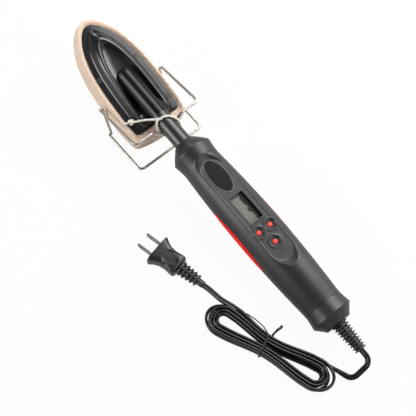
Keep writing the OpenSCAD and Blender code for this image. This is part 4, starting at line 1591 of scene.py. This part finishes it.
@dataclass
class RibbedRelief:
    """A strain relief, named like its CAD node: a sleeve with ever smaller ribs, held apart by webs."""

    name: str
    place: Callable[[Array, Array, Array], Array]
    first: float
    pitch: float
    count: int
    rib_r: float
    end_r: float
    rib_w: float
    core_r: float
    root: float
    tail: float
    rib_ease: float = 0.35
    rib_steps: int = 3
    rib_sides: int = 36
    hub_r: float = 0.3
    web_reach: float = 0.76
    web_w: float = 1.9
    web_bite: float = 0.6
    web_turn: float = math.pi / 4
    web_sharp_deg: float = 30.0
    sleeve_step: float = 2.0
    sleeve_end: float = 0.9
    sleeve_sides: int = 32

    def stations(self, start: float, count: int) -> Array:
        """Points of the axis one pitch apart."""
        return self.place(start - self.pitch * np.arange(count), 0.0, 0.0)

    def rib(self) -> Object:
        """Makes one rib: a round plate about +Z with eased rims.

        Returns:
            The plate, to be copied and removed.
        """
        half = self.rib_w / 2
        hub, rim = self.hub_r, self.rib_r
        corners = [(hub, 0, -half), (rim, 0, -half), (rim, 0, half), (hub, 0, half)]
        profile = rounded(corners, self.rib_ease, self.rib_steps)
        turn = turns(self.rib_sides)
        r, z = profile[:, :1], profile[:, 2:]
        rows = np.stack(np.broadcast_arrays(r * np.cos(turn), r * np.sin(turn), z), axis=-1)
        return Surface(rows * MM).build("rib")

    def web(self) -> Object:
        """Makes one set of four webs about +Z.

        Returns:
            The cross, to be copied and removed.
        """
        arm, reach = self.web_w / 2, self.web_reach * self.rib_r
        length = self.pitch - self.web_bite * self.rib_w
        quarter_turn = np.array([[0, 1], [-1, 0]])
        corners = [np.array([(reach, -arm), (reach, arm), (arm, arm)])]
        for _ in range(3):
            corners.append(corners[-1] @ quarter_turn)
        line = np.array([(0, 0, -length / 2), (0, 0, length / 2)])
        return swept(line * MM, np.vstack(corners) * MM, carried_frames).build("web", self.web_sharp_deg)

    def build(self) -> list[Object]:
        """Makes the sleeve, the ribs and the webs between them.

        Returns:
            The three pieces.
        """
        line = even_line(self.place(np.array([self.root, self.tail]), 0.0, 0.0), self.sleeve_step * MM)
        girth = np.ones(len(line))
        girth[-1] = self.sleeve_end
        sleeve = swept(line, circle(self.core_r * MM, self.sleeve_sides), carried_frames, scale=girth)
        pieces = [add_piece(sleeve.build(f"{self.name}_sleeve"), RELIEF, [self.name])]
        taper = self.end_r / self.rib_r
        gap = self.first - self.pitch / 2
        rows = (
            ("ribs", self.rib(), self.first, self.count, 0.0),
            ("webs", self.web(), gap, self.count - 1, self.web_turn),
        )
        look = RELIEF.material()
        for word, piece, start, count, turn in rows:
            values = {"Count": count, "Piece": piece, "Turn": turn, "End size": taper, "Material": look}
            row = draw_along(f"{self.name}_{word}", self.stations(start, count), row_tree, values)
            bpy.data.objects.remove(piece)
            pieces.append(add_piece(row, RELIEF))
        return pieces


@dataclass
class Plug:
    """The moulded two-blade plug: a waisted body with a flared front and a thumb ridge.

    A ring of the body holds its place along the plug's axis, its half width and its half height.
    """

    at: IronFrame
    origin: Point = (26.5, 71.2, 9.0)
    turn: float = math.radians(12.1)
    relief_l: float = 27.0
    rings: Rows = (
        (0, 7.6, 4.8), (0.1, 8.8, 6.0), (1.4, 10, 6.9), (4.5, 9.9, 7.1), (11, 9.1, 6.9), (17, 9.8, 7.1),
        (21.5, 11.6, 7.5), (24.6, 13.7, 8.0), (25.7, 14.3, 8.2), (26.4, 14.2, 8.1), (26.5, 13.4, 7.5),
    )
    ring_ease: float = 3.0
    ring_steps: int = 5
    spacing: float = 0.45
    sides: int = 128
    squareness: float = 0.42
    thumb_s: float = 12.0
    thumb_half_l: float = 10.4
    thumb_half_w: float = 6.2
    thumb_ridge: float = 0.6
    thumb_ridge_w: float = 0.1
    thumb_dish: float = 0.25
    dish_share: float = 0.98
    dish_over: float = 0.2
    top_from: float = 4.0
    top_over: float = 2.0
    top_to: float = 19.0
    top_fade: float = 6.0
    sharp_deg: float = 50.0

    def place(self, s: Array, y: Array, z: Array) -> Array:
        """Places points of the plug.

        Args:
            s: Places forward along its axis.
            y: Places to the left of it.
            z: Heights above it.

        Returns:
            The points in metres of the row frame.
        """
        c, n = math.cos(self.turn), math.sin(self.turn)
        x0, y0, z0 = self.origin
        return self.at.table(x0 + s * c - y * n, y0 + s * n + y * c, z0 + z)

    def build(self) -> list[Object]:
        """Makes the body and its ribbed relief.

        Returns:
            The pieces on the cord's end.
        """
        rings = even_line(rounded(self.rings, self.ring_ease, self.ring_steps), self.spacing)
        around = turns(self.sides)
        bulge = [np.sign(f(around)) * np.abs(f(around)) ** self.squareness for f in (np.cos, np.sin)]
        s, y, z = rings[:, :1], rings[:, 1:2] * bulge[0], rings[:, 2:] * bulge[1]
        oval = np.hypot((s - self.thumb_s) / self.thumb_half_l, y / self.thumb_half_w)
        top = smoothstep((z - self.top_from) / self.top_over) * smoothstep((self.top_to - s) / self.top_fade)
        edge = self.thumb_ridge * ridge(oval - 1, self.thumb_ridge_w)
        z = z + top * (edge - self.thumb_dish * smoothstep((self.dish_share - oval) / self.dish_over))
        body = Surface(self.place(s, y, z)).build("plug_moulding", self.sharp_deg)
        relief = RibbedRelief(
            "plug_relief", self.place, first=-2.4, pitch=4.3, count=5, rib_r=6.9, end_r=5.6, rib_w=1.7,
            core_r=3.3, root=0.2, tail=-self.relief_l,
        )
        return [add_piece(body, PLUG, ["plug_body"]), *relief.build()]


# Cord, hank and tie


@dataclass
class FlatCord:
    """The flat twin cord, from the strain relief through the tied hank to the plug."""

    at: IronFrame
    plug: Plug
    width: float = 5.2
    thick: float = 2.6
    groove_arc: tuple[float, float] = (-58.0, 238.0)
    groove_points: int = 10
    hank_at: tuple[float, float] = (-80.0, 58.0)
    hank_turn: float = math.radians(18.5)
    hank_half: float = 46.0
    hank_outer: float = 14.5
    hank_pitch: float = 3.1
    hank_quarters: int = 25
    hank_climb: int = 12
    hank_core: float = 4.81
    hank_fan: float = 0.4
    waist_pitch: float = 2.66
    back_rank: float = 0.5
    hank_lift: float = 6.0
    hank_low_z: float = 4.35
    run_steps: int = 10
    end_steps: int = 12
    lead: float = 6.0
    bend: float = 20.8
    bend_steps: int = 8
    exit_bend: float = 7.5
    exit_steps: int = 10
    exit_share: float = 0.8
    relief_out: float = 13.0
    spacing: float = 2.2
    flat_run: float = 25.0
    exit_roll: float = 30.0
    plug_roll: float = 40.0
    sharp_deg: float = 60.0

    def hank_point(self, k: int, f: float) -> Array:
        """A point of the winding.

        Args:
            k: Quarter of a turn: a run, an end, a run back or an end.
            f: Share of the quarter.

        Returns:
            The point in the hank's own frame.
        """
        p = (k + f) / 4
        h = self.hank_outer - self.hank_pitch * min(p, self.hank_quarters / 4 - p)
        turn = math.pi * f
        rise = (1 - math.cos(turn)) / 2 if k == self.hank_climb else float(k > self.hank_climb)
        z = self.hank_low_z + self.hank_lift * rise
        side = 1 if k % 4 < 2 else -1
        if k % 2 == 0:
            rank = (h - self.hank_core) / self.hank_pitch + (self.back_rank if side < 0 else 0.0)
            drawn = h + (rank * self.waist_pitch - h) * math.sin(turn) ** 2
            return np.array([side * self.hank_half * (2 * f - 1), -side * drawn, z])
        reach = h * (1 + self.hank_fan * max(0.0, 1 - (self.hank_outer - h) / self.hank_pitch))
        return np.array([side * (self.hank_half + reach * math.sin(turn)), -side * h * math.cos(turn), z])

    def from_hank(self, p: Array) -> Array:
        """Turns points of the hank's own frame into points of the table.

        Args:
            p: Points along, across and above the hank.

        Returns:
            The same points counted from the table under the handle's middle.
        """
        c, n = math.cos(self.hank_turn), math.sin(self.hank_turn)
        x = self.hank_at[0] + p[:, 0] * c - p[:, 1] * n
        y = self.hank_at[1] + p[:, 0] * n + p[:, 1] * c
        return np.stack([x, y, p[:, 2]], axis=1)

    def winding(self) -> Array:
        """Winds the hank.

        Returns:
            The points of its turns and of their straight leads.
        """
        wound = []
        for k in range(self.hank_quarters):
            steps = self.run_steps if k % 2 == 0 else self.end_steps
            wound += [self.hank_point(k, i / steps) for i in range(steps)]
        wound.append(self.hank_point(self.hank_quarters - 1, 1.0))
        lead = self.lead * FORWARD
        return self.from_hank(np.array([wound[0] - lead, *wound, wound[-1] + lead]))

    def route(self) -> Array:
        """Lays the whole centreline, evenly cut.

        Returns:
            Its points in metres.
        """
        hank = self.winding()
        stations = self.at.relief_end_s - np.array([0.0, self.relief_out])
        out, bend = self.at.handle(stations, 0.0, 0.0) / MM - self.at.handle_x * FORWARD
        heading = unit(hank[1] - hank[0])
        corner = hank[0] - heading * (hank[0][0] - bend[0]) / heading[0]
        first = rounded([out, bend, corner, hank[0]], self.exit_bend, self.exit_steps, self.exit_share)
        angles = (self.plug.turn, self.hank_turn)
        ahead, leave = (np.array([math.cos(angle), math.sin(angle), 0.0]) for angle in angles)
        meet = np.array(self.plug.origin) - self.plug.relief_l * ahead
        corners = [hank[-1], hank[-1] + self.lead * leave, meet - self.lead * ahead, meet]
        last = rounded(corners, self.bend, self.bend_steps)
        return self.at.table(*even_line(np.vstack([first[:-1], hank, last[1:]]), self.spacing).T)

    def section(self) -> Array:
        """Draws two round cores side by side with a groove between them.

        Returns:
            The outline in metres.
        """
        r = self.thick / 2
        apart = (self.width - self.thick) / 2
        arc = np.radians(np.linspace(*self.groove_arc, self.groove_points))
        top = np.stack([r * np.cos(arc), apart + r * np.sin(arc)], axis=1)
        return np.vstack([top, -top]) * MM

    def build(self, with_pieces: Sequence[Object]) -> list[Object]:
        """Args:
            with_pieces: The tie and the plug's pieces; not used.

        Returns:
            The cord.
        """
        line = self.route()
        run = np.linspace(0, line_length(line) / MM, len(line))
        leaving = smoothstep((run - self.flat_run) / self.exit_roll)
        flat = 1 - leaving * smoothstep((run[-1] - run - self.flat_run) / self.plug_roll)
        cord = swept(line, self.section(), upright_frames, roll=flat * math.pi / 2)
        obj = cord.build("flat_cord", self.sharp_deg)
        add_piece(obj, RUBBER, ["iron_cord", "cord_hank", "plug_cord"])
        return [obj]


@dataclass
class TwistTie:
    """The coated wire round the hank's waist, with its two loose tails.

    A point of a tail holds its place along the hank, its place across it and its height above the wrap's top.
    """

    cord: FlatCord
    half: float = 10.4
    low: float = 1.1
    over: float = 0.95
    long_tail: Rows = ((31, -12.5, 6.6), (22, -12.6, 5.1), (12, -11, 3.3), (6, -8, 1.0))
    wrap_x: tuple[float, ...] = (4.6, 4.2, 3.8, 2.8, 2.2)
    wrap_start: float = -5.0
    short_tail: Rows = ((1.4, -12.6, 2.2), (0.4, -15.6, 3.4), (-0.8, -18.0, 3.2), (-1.0, -19.6, 5.0))
    bend: float = 2.6
    bend_steps: int = 8
    spacing: float = 0.7
    radius: float = 0.85
    flatness: float = 0.85
    sides: int = 14
    tail_size: float = 0.62
    wrap_size: float = 0.6
    wrap_from: float = 22.0
    wrap_over: float = 8.0
    end_size: float = 0.2
    end_run: float = 9.0
    end_over: float = 5.0
    sharp_deg: float = 60.0

    def build(self) -> list[Object]:
        """Makes the tie.

        Returns:
            The tie.
        """
        top = self.cord.hank_low_z + self.cord.hank_lift + self.cord.width / 2 + self.over
        tails = [[(x, y, top + z) for x, y, z in tail] for tail in (self.long_tail, self.short_tail)]
        wrap_y = (self.wrap_start, self.half, self.half, -self.half, -self.half)
        wrap = list(zip(self.wrap_x, wrap_y, (top, top, self.low, self.low, top)))
        line = even_line(rounded([*tails[0], *wrap, *tails[1]], self.bend, self.bend_steps), self.spacing)
        run = np.linspace(0, line_length(line), len(line))
        wrapped = self.wrap_size * smoothstep((run - self.wrap_from) / self.wrap_over)
        ended = self.end_size * smoothstep((run - run[-1] + self.end_run) / self.end_over)
        section = circle(self.radius * MM, self.sides) * [1.0, self.flatness]
        placed = self.cord.at.table(*self.cord.from_hank(line).T)
        band = swept(placed, section, carried_frames, scale=self.tail_size + wrapped + ended)
        return [add_piece(band.build("twist_tie_wire", self.sharp_deg), TIE, ["twist_tie"])]


# Camera, light and floor


@dataclass(frozen=True)
class Lamp:
    """A square soft box that looks at the origin, in metres and watts."""

    name: str
    place: Point
    size: float
    power: float

    def build(self) -> None:
        """Hangs the lamp."""
        light = bpy.data.lights.new(self.name, "AREA")
        light.size = self.size
        light.energy = self.power
        lamp = bpy.data.objects.new(self.name, light)
        lamp.location = self.place
        lamp.rotation_mode = "QUATERNION"
        lamp.rotation_quaternion = (-Vector(self.place)).to_track_quat("-Z", "Y")
        bpy.context.scene.collection.objects.link(lamp)


@dataclass(frozen=True)
class Photo:
    """The photograph's camera, from the handle's middle in millimetres, with its light and paper floor."""

    place: Point = (-248.0, 265.4, 902.9)
    azimuth: float = math.radians(140.43)
    elevation: float = math.radians(66.24)
    focal_px: float = 1064.87
    frame_px: float = 416.0
    sensor: float = 36.0
    near: float = 0.05
    far: float = 20.0
    sky: float = 0.2
    lamps: tuple[Lamp, ...] = (
        Lamp("key_box", (0.17, -0.68, 0.83), 0.72, 14.0),
        Lamp("left_card", (0.29, 0.77, 0.38), 0.42, 5.2),
        Lamp("right_card", (-0.15, -1.0, 0.34), 0.5, 2.5),
        Lamp("front_card", (0.95, -0.24, 0.42), 0.35, 2.0),
        Lamp("rear_card", (-0.78, -0.34, 0.62), 0.6, 4.0),
    )
    floor_half: float = 15.0
    floor_drop: float = 0.0002
    paper: float = 0.6
    paper_roughness: float = 0.9
    seen_white: float = 0.95
    mirrored_white: float = 0.5

    def set_camera(self, at: IronFrame) -> None:
        """Places the camera of the photograph.

        Args:
            at: Where the iron lies.
        """
        data = bpy.data.cameras.new("photo_camera")
        data.sensor_width = self.sensor
        data.lens = self.focal_px / self.frame_px * data.sensor_width
        data.clip_start = self.near
        data.clip_end = self.far
        cam = bpy.data.objects.new("photo_camera", data)
        bpy.context.scene.collection.objects.link(cam)
        flat = math.cos(self.elevation)
        back = (math.cos(self.azimuth) * flat, math.sin(self.azimuth) * flat, math.sin(self.elevation))
        cam.location = Vector(at.table(*self.place))
        cam.rotation_mode = "QUATERNION"
        cam.rotation_quaternion = (-Vector(back)).to_track_quat("-Z", "Y")
        bpy.context.scene.camera = cam

    def set_light(self) -> None:
        """Soft boxes round the table and a pale sky."""
        world = bpy.data.worlds.new("studio")
        world.use_nodes = True
        sky = {0: (1, 1, 1, 1), 1: self.sky}
        NodeSheet(world.node_tree).feed(world.node_tree.nodes["Background"], sky)
        bpy.context.scene.world = world
        for lamp in self.lamps:
            lamp.build()

    def set_floor(self) -> None:
        """A white floor that reads as plain paper to the camera."""
        half = self.floor_half
        corners = [(-half, -half, 0), (half, -half, 0), (half, half, 0), (-half, half, 0)]
        mesh = bpy.data.meshes.new("floor")
        mesh.from_pydata(corners, [], [(0, 1, 2, 3)])
        floor = bpy.data.objects.new("floor", mesh)
        floor.location.z = -self.floor_drop
        bpy.context.scene.collection.objects.link(floor)
        mat = bpy.data.materials.new("paper")
        mat.use_nodes = True
        sheet = NodeSheet(mat.node_tree)
        bsdf = mat.node_tree.nodes["Principled BSDF"]
        paper = (self.paper, self.paper, self.paper, 1)
        sheet.feed(bsdf, {"Base Color": paper, "Roughness": self.paper_roughness})
        path = sheet.add("ShaderNodeLightPath").outputs
        direct = sheet.math("MAXIMUM", path["Is Camera Ray"], path["Is Transmission Ray"])
        mirrored = sheet.math("MULTIPLY", path["Is Glossy Ray"], self.mirrored_white)
        share = sheet.math("MAXIMUM", sheet.math("MULTIPLY", direct, self.seen_white), mirrored)
        glow = sheet.add("ShaderNodeEmission", {"Strength": 1.0})
        mix = sheet.add("ShaderNodeMixShader", {0: share, 1: bsdf.outputs[0], 2: glow.outputs[0]})
        sheet.feed(mat.node_tree.nodes["Material Output"], {0: mix.outputs[0]})
        mesh.materials.append(mat)


def main() -> None:
    """Loads the frame, sets the photograph's view, builds the pieces in order and reports each."""
    logging.basicConfig(level=logging.INFO)
    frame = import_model()
    bpy.context.scene.view_settings.view_transform = "Standard"
    at = IronFrame.from_cad()
    photo = Photo()
    photo.set_camera(at)
    photo.set_light()
    photo.set_floor()
    dress_cad(frame["nodes"])
    shell, plug = HandleShell(at), Plug(at)
    cord = FlatCord(at, plug)
    relief = RibbedRelief(
        "strain_relief", at.handle, first=-106.05, pitch=3.05, count=10, rib_r=7.5, end_r=5.8, rib_w=1.45,
        core_r=4.0, root=-104.0, tail=-134.4,
    )
    assemblies = (
        WireStand(at), Shoe(at), Drawstring(at), shell, DisplayBorderAndShade(shell), LabelPlate(shell),
        ButtonSigns(shell), SideStrip(shell, Side.LEFT), SideStrip(shell, Side.RIGHT),
    )
    pieces = [piece for assembly in assemblies for piece in assembly.build()]
    on_cord = TwistTie(cord).build() + plug.build()
    pieces += on_cord + relief.build()
    pieces += cord.build([*on_cord, frame["nodes"]["plug_blades"]])
    for piece in pieces:
        LOG.info("%s in %s", piece.name, piece["finish"])


if __name__ == "__main__":
    main()
